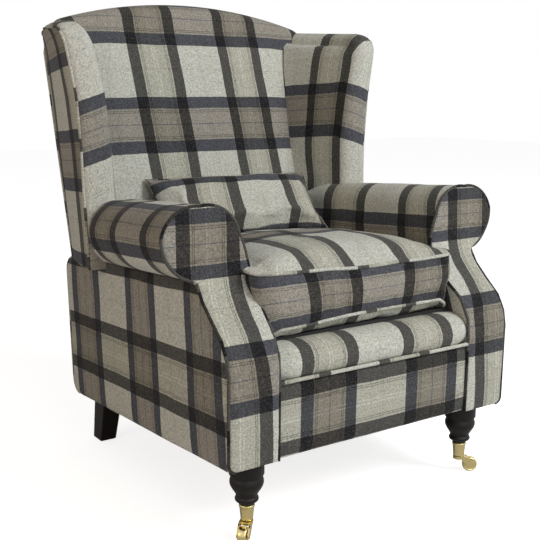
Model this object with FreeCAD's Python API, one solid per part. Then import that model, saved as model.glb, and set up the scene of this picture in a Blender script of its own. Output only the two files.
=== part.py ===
import FreeCAD, Part
import math
import os

# Fireside chair: winged back, scrolled arms, loose seat cushion and back pillow,
# turned front legs on brass castors and square tapered rear legs.
# X runs to the viewer's right, Y to the rear and Z up. The origin is on the floor.
# The upholstered body is drawn level and then raked back about its front lower edge.

V = FreeCAD.Vector

# Driving dimensions in millimetres and degrees

RAKE = 3.3

BODY_Z = 160.0
BODY_FRONT = -345.0
BODY_REAR = 372.0
BODY_HALF = 348.0
REAR_CORNER_R = 35.0
REAR_TOP_R = 38.0

ARM_THICK = 108.0
ARM_IN = BODY_HALF - ARM_THICK
WAIST_HOLLOW = 9.0
WAIST_IN = ARM_IN - WAIST_HOLLOW
WAIST_Z = 486.0
NECK_Z = 495.0
SCROLL_OVERHANG = 65.0
SCROLL_OUT = BODY_HALF + SCROLL_OVERHANG
SCROLL_MID_Z = 578.0
SCROLL_TOP_Z = 631.0
SCROLL_TOP_X = BODY_HALF - 15.0
SCROLL_IN = ARM_IN + 10.0
SCROLL_IN_Z = 574.0
ARM_STRAIGHT_Z = 400.0
ARM_PAD_BOTTOM = 300.0
ARM_PAD_THICK = 40.0
ROLL_TAPER_START = 60.0
ROLL_TAPER_IN = 36.0
FOOT_CORNER_R = 14.0

FACE_LEAN = 12.0
FACE_LEAN_Z = 325.0
FACE_SWEEP = 92.0
FACE_PAD = 14.0
BORDER_SET = 3.0
SKIN = 12.0
BOARD = 26.0
STUMP_INSET = 6.0

BORDER_TOP = 306.0
LIP_TOP = 378.0
LIP_BULGE = 14.0
SEAM_GAP = 0.5

RAIL_Z = 168.0
RAIL_H = 102.0
RAIL_T = 28.0
BLOCK = 60.0
BLOCK_H = 62.0
BACK_RAIL_Y = 290.0
DUST_T = 1.5

WEB_STRAP = 50.0
WEB_T = 2.0
WEB_COUNT = 4

RECLINE = 11.5
BACK_Y = 240.0
BACK_Z = 500.0
BACK_THICK = 86.0
BACK_PEAK = 602.0
BACK_BOTTOM = -118.0
ARCH_R = 1136.0
BACK_CORNER_R = 36.0
BACK_ROLL_R = 34.0
ARCH_STEPS = 4
CORNER_STEPS = 3
ROLL_STEPS = 4
BACK_PAD = 40.0
POST_INSET = 52.0
POST_IN = BODY_HALF - POST_INSET
POST_T = 26.0
POST_DEPTH = 34.0
POST_TOP = 505.0
TOP_RAIL_H = 62.0
TOP_RAIL_DROP = 44.0
MID_RAIL_V = -60.0
MID_RAIL_H = 55.0

WING_FRONT = 140.0
WING_ROUND = 30.0
WING_OUTER_ROUND = 14.0
WING_BOTTOM = 497.0
WING_TOP_FRONT = 1000.0
WING_TOP_REAR = 1020.0
WING_CORNER_R = 52.0
WING_REAR_R = 34.0
WING_BOARD = 16.0
WING_OUTER_SKIN = 10.0
WING_PAD_TUCK = 28.0

ARM_RAIL_IN = BODY_HALF - 48.0
ARM_RAIL_W = 36.0
ARM_RAIL_Z = 524.0
ARM_RAIL_T = 25.0

CUSHION_SIDE_ROOM = 14.0
CUSHION_HALF = ARM_IN - CUSHION_SIDE_ROOM
CUSHION_BOTTOM = 381.0
CUSHION_FRONT = -310.0
CUSHION_EDGE_TOP = 514.0
CUSHION_CROWN = 23.0
CUSHION_SWELL = 3.0
CUSHION_FRONT_DROP = 12.0
CUSHION_GAP = 1.5

PILLOW_W = 412.0
PILLOW_H = 238.0
PILLOW_T = 122.0
PILLOW_EDGE = 10.0
PILLOW_LENS = [(1.0, 0.0), (0.86, 0.42), (0.5, 0.85), (0.0, 1.0), (-0.5, 0.85), (-0.86, 0.42), (-1.0, 0.0)]
PILLOW_X = 17.0
PILLOW_Y = 152.0
PILLOW_Z = 610.0
PILLOW_TILT = 35.0

LEG_INSET = 69.0
LEG_X = BODY_HALF - LEG_INSET
LEG_Y = -295.0
LEG_COLLAR_R = 33.5
LEG_COLLAR_Z = 128.0
LEG_GROOVE_R = 30.0
LEG_BULB_R = 32.5
LEG_NECK_R = 20.5
LEG_NECK_Z = 88.0
LEG_NECK_H = 5.0
LEG_RING_Z = 75.0
LEG_BULB_Z = 103.0
LEG_SHOULDER_Z = 113.0
LEG_GROOVE_H = 3.0
LEG_RING_R = 22.5
LEG_FOOT_Z = 68.0
LEG_CUP_STEP = 0.4
CUP_TOP_R = 14.7
CUP_BODY_R = 12.6
CUP_RIM_H = 9.0
CUP_FOOT_Z = 36.0
CUP_WALL = 1.6
CUP_FLOOR = 3.0
BOLT_R = 4.0
BOLT_LOW = 100.0
BOLT_TOP = 210.0

REAR_FOOT_X = BODY_HALF - 59.0
REAR_FOOT_Y = 332.0
REAR_FOOT_W = 40.0
REAR_FOOT_D = 44.0
REAR_TOP_Y = 294.0
REAR_TOP_LAP = 6.0
REAR_TOP_W = 48.0
REAR_TOP_D = 58.0

WHEEL_R = 16.0
WHEEL_W = 17.0
WHEEL_BORE_R = 3.05
AXLE_R = 3.0
TRAIL = 25.0
HORN_T = 3.2
HORN_GAP = 0.6
HORN_TOP_GAP = 0.5
HORN_H = 6.0
HORN_EYE_R = 7.0
PINTLE_R = 3.5
PINTLE_FIT = 0.05
PINTLE_TOP = 62.0
TRAIL_ANGLE_LEFT = 222.0
TRAIL_ANGLE_RIGHT = -30.0

os.makedirs("parts", exist_ok=True)


# Helpers

def edge_chain(start, steps):
    """Closed wire from a start point: one point means a line, two mean an arc."""
    edges = []
    here = start
    for step in steps:
        if isinstance(step, tuple):
            middle, end = step
            edges.append(Part.Arc(here, middle, end).toShape())
            here = end
        else:
            edges.append(Part.LineSegment(here, step).toShape())
            here = step
    return Part.Wire(edges)


def prism(wire, direction):
    return Part.Face(wire).extrude(direction)


def box(x0, x1, y0, y1, z0, z1):
    return Part.makeBox(x1 - x0, y1 - y0, z1 - z0, V(x0, y0, z0))


def side_prism(start, steps, x0, x1):
    """Prism along X over an outline given as (y, z) pairs."""
    def at(pair):
        return V(x0, pair[0], pair[1])
    moved = [(at(s[0]), at(s[1])) if isinstance(s[0], tuple) else at(s) for s in steps]
    return prism(edge_chain(at(start), moved), V(x1 - x0, 0, 0))


def mirrored(shape):
    return shape.mirror(V(0, 0, 0), V(1, 0, 0))


def raked(shape):
    """The level body leans back about its front lower edge."""
    copy = shape.copy()
    copy.rotate(V(0, BODY_FRONT, BODY_Z), V(1, 0, 0), -RAKE)
    return copy


def reclined(shape):
    """The back is drawn upright in x, depth, height and leans about its seat line."""
    copy = shape.copy()
    copy.rotate(V(0, 0, 0), V(1, 0, 0), -RECLINE)
    copy.translate(V(0, BACK_Y, BACK_Z))
    return copy


def solid_of(shape):
    """The one solid that a cut leaves, without slivers."""
    parts = sorted(shape.Solids, key=lambda s: s.Volume)
    return parts[-1].removeSplitter()


model = {}


def write(name, shape):
    model[name] = shape


def write_pair(name, right):
    write(name + "_right", raked(right))
    write(name + "_left", raked(mirrored(right)))


# Arm: front elevation and swept front profile

def arm_outline(inset, y, shift=0.0):
    """Closed outline of the right arm in x and z at depth y."""
    outer = BODY_HALF - inset
    inner = ARM_IN + inset
    floor = BODY_Z + inset
    lean = 0.7 * inset
    reach = SCROLL_OUT - inset - shift
    top = V(SCROLL_TOP_X - shift / 2, y, SCROLL_TOP_Z - inset)
    neck = V(outer, y, NECK_Z + inset)
    widest = V(reach, y, SCROLL_MID_Z)
    under = V((outer + reach) / 2 + 9 - lean / 2, y, NECK_Z + 22 + lean)
    over = V((top.x + reach) / 2 + 14 - lean / 2, y, SCROLL_TOP_Z - 14 - lean)
    inward = V(SCROLL_IN + 23 + lean, y, SCROLL_TOP_Z - 16 - lean)
    scroll_in = V(SCROLL_IN + inset, y, SCROLL_IN_Z)
    waist = V(WAIST_IN + inset, y, WAIST_Z)
    straight = V(inner, y, ARM_STRAIGHT_Z)
    bend_high = V(WAIST_IN + 4 + inset, y, (WAIST_Z + SCROLL_IN_Z) / 2)
    bend_low = V((WAIST_IN + ARM_IN) / 2 - 1 + inset, y, (WAIST_Z + ARM_STRAIGHT_Z) / 2)
    r = FOOT_CORNER_R
    k = r * (1 - math.sqrt(0.5))
    corner = (V(outer - k, y, floor + k), V(outer, y, floor + r))
    return edge_chain(V(inner, y, floor), [
        V(outer - r, y, floor), corner, neck, (under, widest), (over, top),
        (inward, scroll_in), (bend_high, waist), (bend_low, straight), V(inner, y, floor)])


def behind_front(depth):
    """Everything behind the swept front profile, set back by depth."""
    y0 = BODY_FRONT + depth
    lean = y0 - FACE_LEAN
    top = y0 + FACE_SWEEP
    x1 = 2 * SCROLL_OUT
    far = 2 * BODY_REAR
    high = 2 * SCROLL_TOP_Z
    low = BODY_Z - 60
    lean_low = y0 + (BODY_Z - low) * FACE_LEAN / (FACE_LEAN_Z - BODY_Z)
    return side_prism((lean_low, low), [
        (lean, FACE_LEAN_Z),
        ((lean + 10, FACE_LEAN_Z + 60), (lean + 45, FACE_LEAN_Z + 99)),
        (lean + 81, FACE_LEAN_Z + 137),
        ((top + 7 - FACE_LEAN, FACE_LEAN_Z + 170), (top, FACE_LEAN_Z + 220)),
        (top - 5, high), (far, high), (far, low), (lean_low, low)], -x1, x1)


def front_band(depth, thick):
    return behind_front(depth).cut(behind_front(depth + thick))


FAR = 2 * BODY_REAR
arm_full = prism(arm_outline(0, -FAR), V(0, 2 * FAR, 0))
stump_full = prism(arm_outline(STUMP_INSET, -FAR), V(0, 2 * FAR, 0))
arm_facing = solid_of(arm_full.common(front_band(0, FACE_PAD)))

# Outside arm panel with its rounded rear corners

side_x0 = BODY_HALF - SKIN
side_top = NECK_Z - 5
k1 = REAR_CORNER_R * (1 - math.sqrt(0.5))
k2 = REAR_TOP_R * (1 - math.sqrt(0.5))
outside_arm = side_prism((-FAR, BODY_Z), [
    (BODY_REAR - REAR_CORNER_R, BODY_Z),
    ((BODY_REAR - k1, BODY_Z + k1), (BODY_REAR, BODY_Z + REAR_CORNER_R)),
    (BODY_REAR, side_top - REAR_TOP_R),
    ((BODY_REAR - k2, side_top - k2), (BODY_REAR - REAR_TOP_R, side_top)),
    (-FAR, side_top), (-FAR, BODY_Z)], side_x0, BODY_HALF)
outside_arm = solid_of(outside_arm.common(behind_front(FACE_PAD)))

stump_back = FACE_PAD + BOARD
arm_stump = stump_full.common(front_band(FACE_PAD, BOARD))
arm_stump = arm_stump.cut(box(side_x0, FAR, -FAR, FAR, BODY_Z, side_top))
arm_stump = arm_stump.cut(box(0, FAR, -FAR, FAR, 0, RAIL_Z))
arm_stump = solid_of(arm_stump)
stump_rear = BODY_FRONT + stump_back
stump_in = ARM_IN + STUMP_INSET


# Back frame in its own upright frame: x, depth w and height v

def arch_drop(x):
    return ARCH_R - math.sqrt(ARCH_R ** 2 - x ** 2)


def arch_outline(half, peak, bottom, corner, w):
    """Front outline of the back: arched top with corners tangent to arch and sides."""
    centre_v = peak - ARCH_R
    corner_x = half - corner
    corner_v = centre_v + math.sqrt((ARCH_R - corner) ** 2 - corner_x ** 2)
    to_corner = V(corner_x, 0, corner_v - centre_v).normalize()
    meet = V(0, w, centre_v) + to_corner * ARCH_R
    halfway = (to_corner + V(1, 0, 0)).normalize()
    bend = V(corner_x, w, corner_v) + halfway * corner
    return edge_chain(V(-half, w, bottom), [
        V(half, w, bottom), V(half, w, corner_v), (bend, meet),
        (V(0, w, peak), V(-meet.x, w, meet.z)),
        (V(-bend.x, w, bend.z), V(-half, w, corner_v)), V(-half, w, bottom)])


def arch_stations(half, peak, corner):
    """Points along the right half of the arch and round its corner, as x and height."""
    corner_x = half - corner
    corner_v = peak - ARCH_R + math.sqrt((ARCH_R - corner) ** 2 - corner_x ** 2)
    meet_angle = math.degrees(math.acos(corner_x / (ARCH_R - corner)))
    points = []
    for i in range(ARCH_STEPS):
        x = i * ARCH_R * math.cos(math.radians(meet_angle)) / ARCH_STEPS
        points.append((x, peak - arch_drop(x)))
    for i in range(CORNER_STEPS + 1):
        turn = math.radians(meet_angle * (1 - i / CORNER_STEPS))
        points.append((corner_x + corner * math.cos(turn), corner_v + corner * math.sin(turn)))
    return points


def rolled_section(x, top):
    """Side section of the back: straight sides and a top rolled in short flats."""
    r = BACK_ROLL_R
    front_roll = []
    rear_roll = []
    for i in range(ROLL_STEPS + 1):
        turn = math.radians(90 * i / ROLL_STEPS)
        rise = top - r + r * math.sin(turn)
        front_roll.append(V(x, r - r * math.cos(turn), rise))
        rear_roll.append(V(x, BACK_THICK - r + r * math.cos(turn), rise))
    points = [V(x, 0, BACK_BOTTOM)] + front_roll + rear_roll[::-1] + [V(x, BACK_THICK, BACK_BOTTOM)]
    return Part.makePolygon(points + points[:1])


half_arch = arch_stations(BODY_HALF, BACK_PEAK, BACK_CORNER_R)
whole_arch = [(-x, top) for x, top in reversed(half_arch[1:])] + half_arch
back_mass = Part.makeLoft([rolled_section(x, top) for x, top in whole_arch], True, True)

panel_peak = BACK_PEAK - BACK_ROLL_R
outside_back = prism(
    arch_outline(BODY_HALF, panel_peak, BACK_BOTTOM, BACK_CORNER_R / 2, BACK_THICK - SKIN),
    V(0, SKIN, 0))

post_w0 = BACK_THICK - SKIN - POST_DEPTH
post_out = POST_IN + POST_T
back_post = box(POST_IN, post_out, post_w0, post_w0 + POST_DEPTH, BACK_BOTTOM, POST_TOP)

rail_peak = BACK_PEAK - TOP_RAIL_DROP
top_rail = prism(arch_outline(POST_IN, rail_peak, rail_peak - 200, 2.0, post_w0), V(0, POST_DEPTH, 0))
lower_arch = prism(
    arch_outline(POST_IN + 10, rail_peak - TOP_RAIL_H, rail_peak - 300, 2.0, post_w0 - 10),
    V(0, POST_DEPTH + 20, 0))
top_rail = solid_of(top_rail.cut(lower_arch))
rail_low = rail_peak - TOP_RAIL_H
mid_rail = box(-POST_IN, POST_IN, post_w0, post_w0 + POST_DEPTH, MID_RAIL_V, MID_RAIL_V + MID_RAIL_H)

back_hollow = prism(
    arch_outline(POST_IN, rail_low, BACK_BOTTOM - 10, 2.0, BACK_PAD),
    V(0, BACK_THICK - SKIN - BACK_PAD, 0))


def webbing(width, length, across, along):
    """Flat woven straps joined where they cross, laid in x and y from zero."""
    net = None
    pitch_x = width / across
    pitch_y = length / along
    for i in range(across):
        x = (i + 0.5) * pitch_x - WEB_STRAP / 2
        strap = Part.makeBox(WEB_STRAP, length, WEB_T, V(x, 0, 0))
        net = strap if net is None else net.fuse(strap)
    for j in range(along):
        y = (j + 0.5) * pitch_y - WEB_STRAP / 2
        net = net.fuse(Part.makeBox(width, WEB_STRAP, WEB_T, V(0, y, 0)))
    return net.removeSplitter()


web_low = MID_RAIL_V + MID_RAIL_H
back_net = webbing(2 * POST_IN, rail_low - arch_drop(POST_IN) - web_low, WEB_COUNT, WEB_COUNT)
back_net.rotate(V(0, 0, 0), V(1, 0, 0), 90)
back_net.translate(V(-POST_IN, post_w0 + WEB_T, web_low))

back_mass = reclined(back_mass)
outside_back = reclined(outside_back)
back_post = reclined(back_post)
top_rail = reclined(top_rail)
mid_rail = reclined(mid_rail)
back_hollow = reclined(back_hollow)
back_net = reclined(back_net)

slope = math.tan(math.radians(RECLINE))
back_run = BACK_THICK / math.cos(math.radians(RECLINE))


def inner_back_y(z):
    return BACK_Y + (z - BACK_Z) * slope


def outer_back_y(z):
    return inner_back_y(z) + back_run


# Wings: plan sections that flare with height

WING_PLAN = [
    # height, then how far past BODY_HALF: outer front, inner front, inner rear
    (460.0, 32.0, -45.0, -102.0),
    (740.0, 36.0, -39.0, -102.0),
    (850.0, 44.0, -27.0, -94.0),
    (1060.0, 80.0, 20.0, -69.0),
]


def wing_section(z, outer, inner, rear):
    outer_x = BODY_HALF + outer
    inner_x = BODY_HALF + inner
    rear_x = BODY_HALF + rear
    width = outer_x - inner_x
    low_front = V(inner_x + 0.18 * width, WING_FRONT + 0.3 * WING_ROUND, z)
    mid_front = V(inner_x + 0.55 * width, WING_FRONT, z)
    inner_front = V(inner_x, WING_FRONT + WING_ROUND, z)
    outer_front = V(outer_x, WING_FRONT + WING_OUTER_ROUND, z)
    outer_rear = V(BODY_HALF, outer_back_y(z), z)
    inner_rear = V(rear_x, inner_back_y(z) + WING_PAD_TUCK, z)
    return edge_chain(inner_rear, [
        inner_front, low_front, mid_front, outer_front, outer_rear, inner_rear])


wing_mass = Part.makeLoft([wing_section(*row) for row in WING_PLAN], True, True)

fall = (WING_TOP_REAR - WING_TOP_FRONT) / (outer_back_y(WING_TOP_REAR) - WING_FRONT)
r3 = WING_CORNER_R
k3 = r3 * (1 - math.sqrt(0.5))
r4 = WING_REAR_R
wing_top_y = outer_back_y(WING_TOP_REAR)
rear_run_z = WING_TOP_REAR - r4
wing_side = side_prism((WING_FRONT - 30, WING_BOTTOM), [
    (outer_back_y(WING_BOTTOM) + 1, WING_BOTTOM), (outer_back_y(rear_run_z) + 1, rear_run_z),
    ((wing_top_y - r4 * 0.36, WING_TOP_REAR - r4 * 0.34), (wing_top_y - r4, WING_TOP_REAR - r4 * fall)),
    (WING_FRONT + r3, WING_TOP_FRONT + r3 * fall),
    ((WING_FRONT + k3, WING_TOP_FRONT - k3), (WING_FRONT, WING_TOP_FRONT - r3)),
    (WING_FRONT - 30, WING_TOP_FRONT - r3 - 40), (WING_FRONT - 30, WING_BOTTOM)],
    0, 2 * SCROLL_OUT)


def front_prism(start, steps):
    """Prism along Y over an outline given as (x, z) pairs."""
    def at(pair):
        return V(pair[0], -FAR, pair[1])
    moved = [(at(s[0]), at(s[1])) if isinstance(s[0], tuple) else at(s) for s in steps]
    return prism(edge_chain(at(start), moved), V(0, 2 * FAR, 0))


shoulder_x = SCROLL_OUT + 2
wing_front_cut = front_prism((0, WING_BOTTOM), [
    (2 * SCROLL_OUT, WING_BOTTOM), (shoulder_x, WING_TOP_FRONT - r3),
    ((shoulder_x - k3 * 0.9, WING_TOP_FRONT - k3 * 0.7), (shoulder_x - r3, WING_TOP_FRONT + 1)),
    (BODY_HALF - 10, WING_TOP_FRONT + 14), (0, BACK_Z + BACK_PEAK + 60), (0, WING_BOTTOM)])
wing_shape = wing_mass.common(wing_side).common(wing_front_cut)


def wing_layer(deep, shallow, front_offset):
    """Lofted sheet that follows the outer face of the wing between two depths."""
    rows = []
    for z, outer, inner, rear in WING_PLAN:
        y0 = WING_FRONT + front_offset
        y1 = outer_back_y(z)
        run = y1 - WING_FRONT - WING_OUTER_ROUND
        x0 = BODY_HALF + outer * (y1 - y0) / run
        rows.append(Part.makePolygon([
            V(x0 - shallow, y0, z), V(BODY_HALF - shallow, y1, z),
            V(BODY_HALF - deep, y1, z), V(x0 - deep, y0, z), V(x0 - shallow, y0, z)]))
    return Part.makeLoft(rows, True, True)


board_out = WING_OUTER_SKIN
board_in = WING_OUTER_SKIN + WING_BOARD
wing_skin_slab = wing_layer(board_out, -WING_CORNER_R, -WING_CORNER_R)
wing_outer = solid_of(wing_shape.common(wing_skin_slab))
board_slab = wing_layer(board_in, board_out, 26)
board_zone = box(0, FAR, -FAR, FAR, ARM_RAIL_Z + ARM_RAIL_T, WING_TOP_FRONT - 40)
wing_frame = board_slab.common(board_zone).cut(outside_back)

# Arm mass with its tapered end and its inner run to the back

arm_front_part = arm_full.common(box(0, FAR, -FAR, ROLL_TAPER_START, 0, FAR))
taper_end = WING_FRONT + 10
arm_taper = Part.makeLoft([
    arm_outline(0, ROLL_TAPER_START), arm_outline(0, taper_end, ROLL_TAPER_IN)], True, True)
arm_tail = arm_full.common(box(0, BODY_HALF - board_in - 1, taper_end, FAR, 0, FAR))
mid_run = back_run / 2
ahead_of_back = side_prism((-FAR, 0), [
    (inner_back_y(0) + mid_run, 0), (inner_back_y(FAR) + mid_run, FAR), (-FAR, FAR), (-FAR, 0)],
    -FAR, FAR)
arm_mass = arm_front_part.fuse([arm_taper, arm_tail]).common(ahead_of_back).cut(back_mass)
arm_core_x = ARM_IN + ARM_PAD_THICK
arm_room = box(arm_core_x, FAR, -FAR, FAR, 0, NECK_Z)
arm_mass = arm_mass.common(behind_front(stump_back)).cut(arm_room)
arm_mass = arm_mass.cut(box(0, FAR, -FAR, FAR, 0, ARM_PAD_BOTTOM))
arm_rail = box(ARM_RAIL_IN, ARM_RAIL_IN + ARM_RAIL_W, -FAR, FAR, ARM_RAIL_Z, ARM_RAIL_Z + ARM_RAIL_T)
arm_rail = arm_rail.common(behind_front(stump_back))
post_reach = inner_back_y(ARM_RAIL_Z) + back_run - SKIN
arm_rail = arm_rail.common(box(0, FAR, -FAR, post_reach, 0, FAR)).cut([back_post, outside_back])
arm_rail = solid_of(arm_rail)

arm_pad = solid_of(arm_mass.cut(arm_rail).cut(wing_outer))
wing_pad = wing_shape.cut([wing_outer, wing_frame, arm_pad, arm_rail, back_post, back_hollow, top_rail])
wing_pad = solid_of(wing_pad.cut(outside_back).cut(box(0, FAR, -FAR, FAR, 0, ARM_RAIL_Z)))
wing_frame = solid_of(wing_frame.common(wing_shape).cut([wing_outer, back_post, arm_rail, arm_pad]))

# The posts stand on the side rails through a short upright leg of the same board

post_foot_y0 = BACK_RAIL_Y - POST_DEPTH
post_foot = box(POST_IN, post_out, post_foot_y0, BACK_RAIL_Y, RAIL_Z + RAIL_H, BACK_Z + BACK_BOTTOM + POST_DEPTH)
back_post = solid_of(back_post.fuse(post_foot.cut(back_post)))

wing_left = mirrored(wing_shape)
outside_back = outside_back.cut([back_post, mirrored(back_post), outside_arm, mirrored(outside_arm), wing_outer, mirrored(wing_outer)])
outside_back = solid_of(outside_back)
inside_back = back_mass.cut([
    back_hollow, outside_back, wing_shape, wing_left, top_rail, mid_rail,
    back_post, mirrored(back_post), wing_frame, mirrored(wing_frame), arm_rail, mirrored(arm_rail),
    outside_arm, mirrored(outside_arm)])
inside_back = inside_back.cut(box(-BODY_HALF - 5, BODY_HALF + 5, -FAR, FAR, 0, LIP_TOP + SEAM_GAP))
inside_back = solid_of(inside_back)

# Lower frame

front_rail = box(-stump_in, stump_in, -FAR, stump_rear + 6, RAIL_Z, RAIL_Z + RAIL_H + 16)
front_rail = solid_of(front_rail.common(behind_front(BORDER_SET + SKIN)))
front_rail_back = stump_rear + 6
side_rail_in = side_x0 - RAIL_T
side_rail = box(side_rail_in, side_x0, stump_rear - 40, BACK_RAIL_Y + RAIL_T, RAIL_Z, RAIL_Z + RAIL_H)
side_rail = solid_of(side_rail.common(behind_front(stump_back)))
back_rail = box(-side_rail_in, side_rail_in, BACK_RAIL_Y, BACK_RAIL_Y + RAIL_T, RAIL_Z, RAIL_Z + RAIL_H)



def rear_outline(inset, y0):
    """Lower rear of the body in side view, with its rounded bottom and top corners."""
    rear = BODY_REAR - inset
    low = BODY_Z + inset
    high = side_top - inset
    return side_prism((y0, low), [
        (BODY_REAR - REAR_CORNER_R, low),
        ((BODY_REAR - k1 - 0.7 * inset, BODY_Z + k1 + 0.7 * inset), (rear, BODY_Z + REAR_CORNER_R)),
        (rear, side_top - REAR_TOP_R),
        ((BODY_REAR - k2 - 0.7 * inset, side_top - k2 - 0.7 * inset), (BODY_REAR - REAR_TOP_R, high)),
        (y0, high), (y0, low)], -side_x0, side_x0)


rear_start = BACK_RAIL_Y + RAIL_T
lower_rear = rear_outline(0, rear_start).cut(rear_outline(SKIN, rear_start - 1)).cut(outside_back)
lower_rear = lower_rear.cut(box(-FAR, FAR, -FAR, outer_back_y(side_top), side_top - 2 * SKIN, FAR))
lower_rear = solid_of(lower_rear)

# Seat: webbing, deck, lip, border

web_lap = 0.6 * RAIL_T
web_z = RAIL_Z + RAIL_H
seat_net = webbing(2 * side_rail_in + 2 * web_lap, BACK_RAIL_Y + web_lap - front_rail_back, WEB_COUNT, WEB_COUNT)
seat_net.translate(V(-side_rail_in - web_lap, front_rail_back, web_z))
seat_net = solid_of(seat_net.cut([back_post, mirrored(back_post)]))
deck = box(-ARM_IN + SEAM_GAP, ARM_IN - SEAM_GAP, front_rail_back, BACK_RAIL_Y, web_z + WEB_T, LIP_TOP)
deck = solid_of(deck.common(ahead_of_back).cut([inside_back, mid_rail, outside_back]))
border = box(-ARM_IN + SEAM_GAP, ARM_IN - SEAM_GAP, -FAR, 0, BODY_Z, BORDER_TOP)
border = solid_of(border.common(front_band(BORDER_SET, SKIN)))
lip_face = BODY_FRONT + BORDER_SET - FACE_LEAN * (BORDER_TOP - BODY_Z) / (FACE_LEAN_Z - BODY_Z)
lip_low = BORDER_TOP + SEAM_GAP
lip = side_prism((front_rail_back, lip_low), [
    (lip_face, lip_low),
    ((lip_face - LIP_BULGE * 0.55, lip_low + 36), (lip_face + 26, LIP_TOP - 2)),
    (front_rail_back, LIP_TOP), (front_rail_back, lip_low)],
    -ARM_IN + SEAM_GAP, ARM_IN - SEAM_GAP)

# Corner blocks behind the rails, over each leg

front_block = box(side_rail_in - BLOCK, side_rail_in, front_rail_back, front_rail_back + BLOCK,
                  RAIL_Z, RAIL_Z + BLOCK_H)
rear_block = box(side_rail_in - BLOCK, side_rail_in, BACK_RAIL_Y - BLOCK, BACK_RAIL_Y,
                 RAIL_Z, RAIL_Z + BLOCK_H)


# Legs

def upright_top(z):
    """A half space above the raked underside of the rails, in the room's frame."""
    return raked(box(-FAR, FAR, -FAR, FAR, z, FAR))


def rake_point(x, y, z):
    a = math.radians(RAKE)
    dy = y - BODY_FRONT
    dz = z - BODY_Z
    return V(x, BODY_FRONT + dy * math.cos(a) + dz * math.sin(a),
             BODY_Z - dy * math.sin(a) + dz * math.cos(a))


def leg_profile():
    """Turned front leg in radius and height: spigot, ring, neck, bulb, groove and collar."""
    spigot = CUP_BODY_R - CUP_WALL
    seat = CUP_FOOT_Z + CUP_FLOOR
    high = BODY_Z + 2 * RAIL_T
    outline = [
        (0, seat), (spigot, seat), (spigot, LEG_FOOT_Z), (CUP_TOP_R + LEG_CUP_STEP, LEG_FOOT_Z),
        (LEG_RING_R, LEG_RING_Z), (LEG_RING_R, LEG_NECK_Z - LEG_NECK_H), (LEG_NECK_R, LEG_NECK_Z - LEG_NECK_H),
        (LEG_NECK_R, LEG_NECK_Z), (LEG_BULB_R, LEG_BULB_Z), (LEG_BULB_R, LEG_SHOULDER_Z),
        (LEG_GROOVE_R, LEG_COLLAR_Z - LEG_GROOVE_H), (LEG_GROOVE_R, LEG_COLLAR_Z),
        (LEG_COLLAR_R, LEG_COLLAR_Z), (LEG_COLLAR_R, high), (0, high), (0, seat)]
    return Part.makePolygon([V(r, 0, z) for r, z in outline])


def hex_bar(x, y, z0, length):
    ring = [V(x + BOLT_R * math.cos(math.radians(60 * i)), y + BOLT_R * math.sin(math.radians(60 * i)), z0)
            for i in range(7)]
    return prism(Part.makePolygon(ring), V(0, 0, length))


def front_leg():
    turned = Part.Face(leg_profile()).revolve(V(0, 0, 0), V(0, 0, 1), 360)
    turned.translate(V(LEG_X, LEG_Y, 0))
    bolt_hole = hex_bar(LEG_X, LEG_Y, BOLT_LOW, FAR)
    pintle_hole = Part.makeCylinder(PINTLE_R + 1, PINTLE_TOP + 1, V(LEG_X, LEG_Y, 0))
    return solid_of(turned.cut([upright_top(RAIL_Z), bolt_hole, pintle_hole]))


def square(x, y, z, width, depth):
    half_w = width / 2
    half_d = depth / 2
    return [V(x - half_w, y - half_d, z), V(x + half_w, y - half_d, z),
            V(x + half_w, y + half_d, z), V(x - half_w, y + half_d, z)]


def rear_leg():
    """Square leg, splayed back and tapering down to its foot."""
    head = rake_point(side_rail_in - REAR_TOP_W / 2 + REAR_TOP_LAP, REAR_TOP_Y, RAIL_Z)
    foot = square(REAR_FOOT_X, REAR_FOOT_Y, 0, REAR_FOOT_W, REAR_FOOT_D)
    top = square(head.x, head.y, head.z + 4, REAR_TOP_W, REAR_TOP_D)
    faces = [Part.Face(Part.makePolygon(foot + foot[:1])), Part.Face(Part.makePolygon(top + top[:1]))]
    for i in range(4):
        j = (i + 1) % 4
        faces.append(Part.Face(Part.makePolygon([foot[i], foot[j], top[j], top[i], foot[i]])))
    return solid_of(Part.Solid(Part.Shell(faces)).cut(upright_top(RAIL_Z)))


bolt = hex_bar(LEG_X, LEG_Y, BOLT_LOW, BOLT_TOP - BOLT_LOW)
rear_bolt_x = side_rail_in - BLOCK / 2
rear_bolt_y = BACK_RAIL_Y - BLOCK / 2
rear_head = rake_point(rear_bolt_x, rear_bolt_y, RAIL_Z)
rear_bolt = hex_bar(rear_head.x, rear_head.y, rear_head.z - 40, BLOCK_H + 30)
left_leg = front_leg()

# Brass castors

def cup():
    bore = CUP_BODY_R - CUP_WALL
    floor = CUP_FOOT_Z + CUP_FLOOR
    outline = [(0, CUP_FOOT_Z), (CUP_BODY_R, CUP_FOOT_Z), (CUP_BODY_R, LEG_FOOT_Z - CUP_RIM_H),
               (CUP_TOP_R, LEG_FOOT_Z - CUP_RIM_H), (CUP_TOP_R, LEG_FOOT_Z), (bore, LEG_FOOT_Z),
               (bore, floor), (0, floor), (0, CUP_FOOT_Z)]
    shell = Part.Face(Part.makePolygon([V(r, 0, z) for r, z in outline])).revolve(V(0, 0, 0), V(0, 0, 1), 360)
    return shell.cut(Part.makeCylinder(PINTLE_R + PINTLE_FIT, CUP_FLOOR + 2, V(0, 0, CUP_FOOT_Z - 1)))


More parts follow.
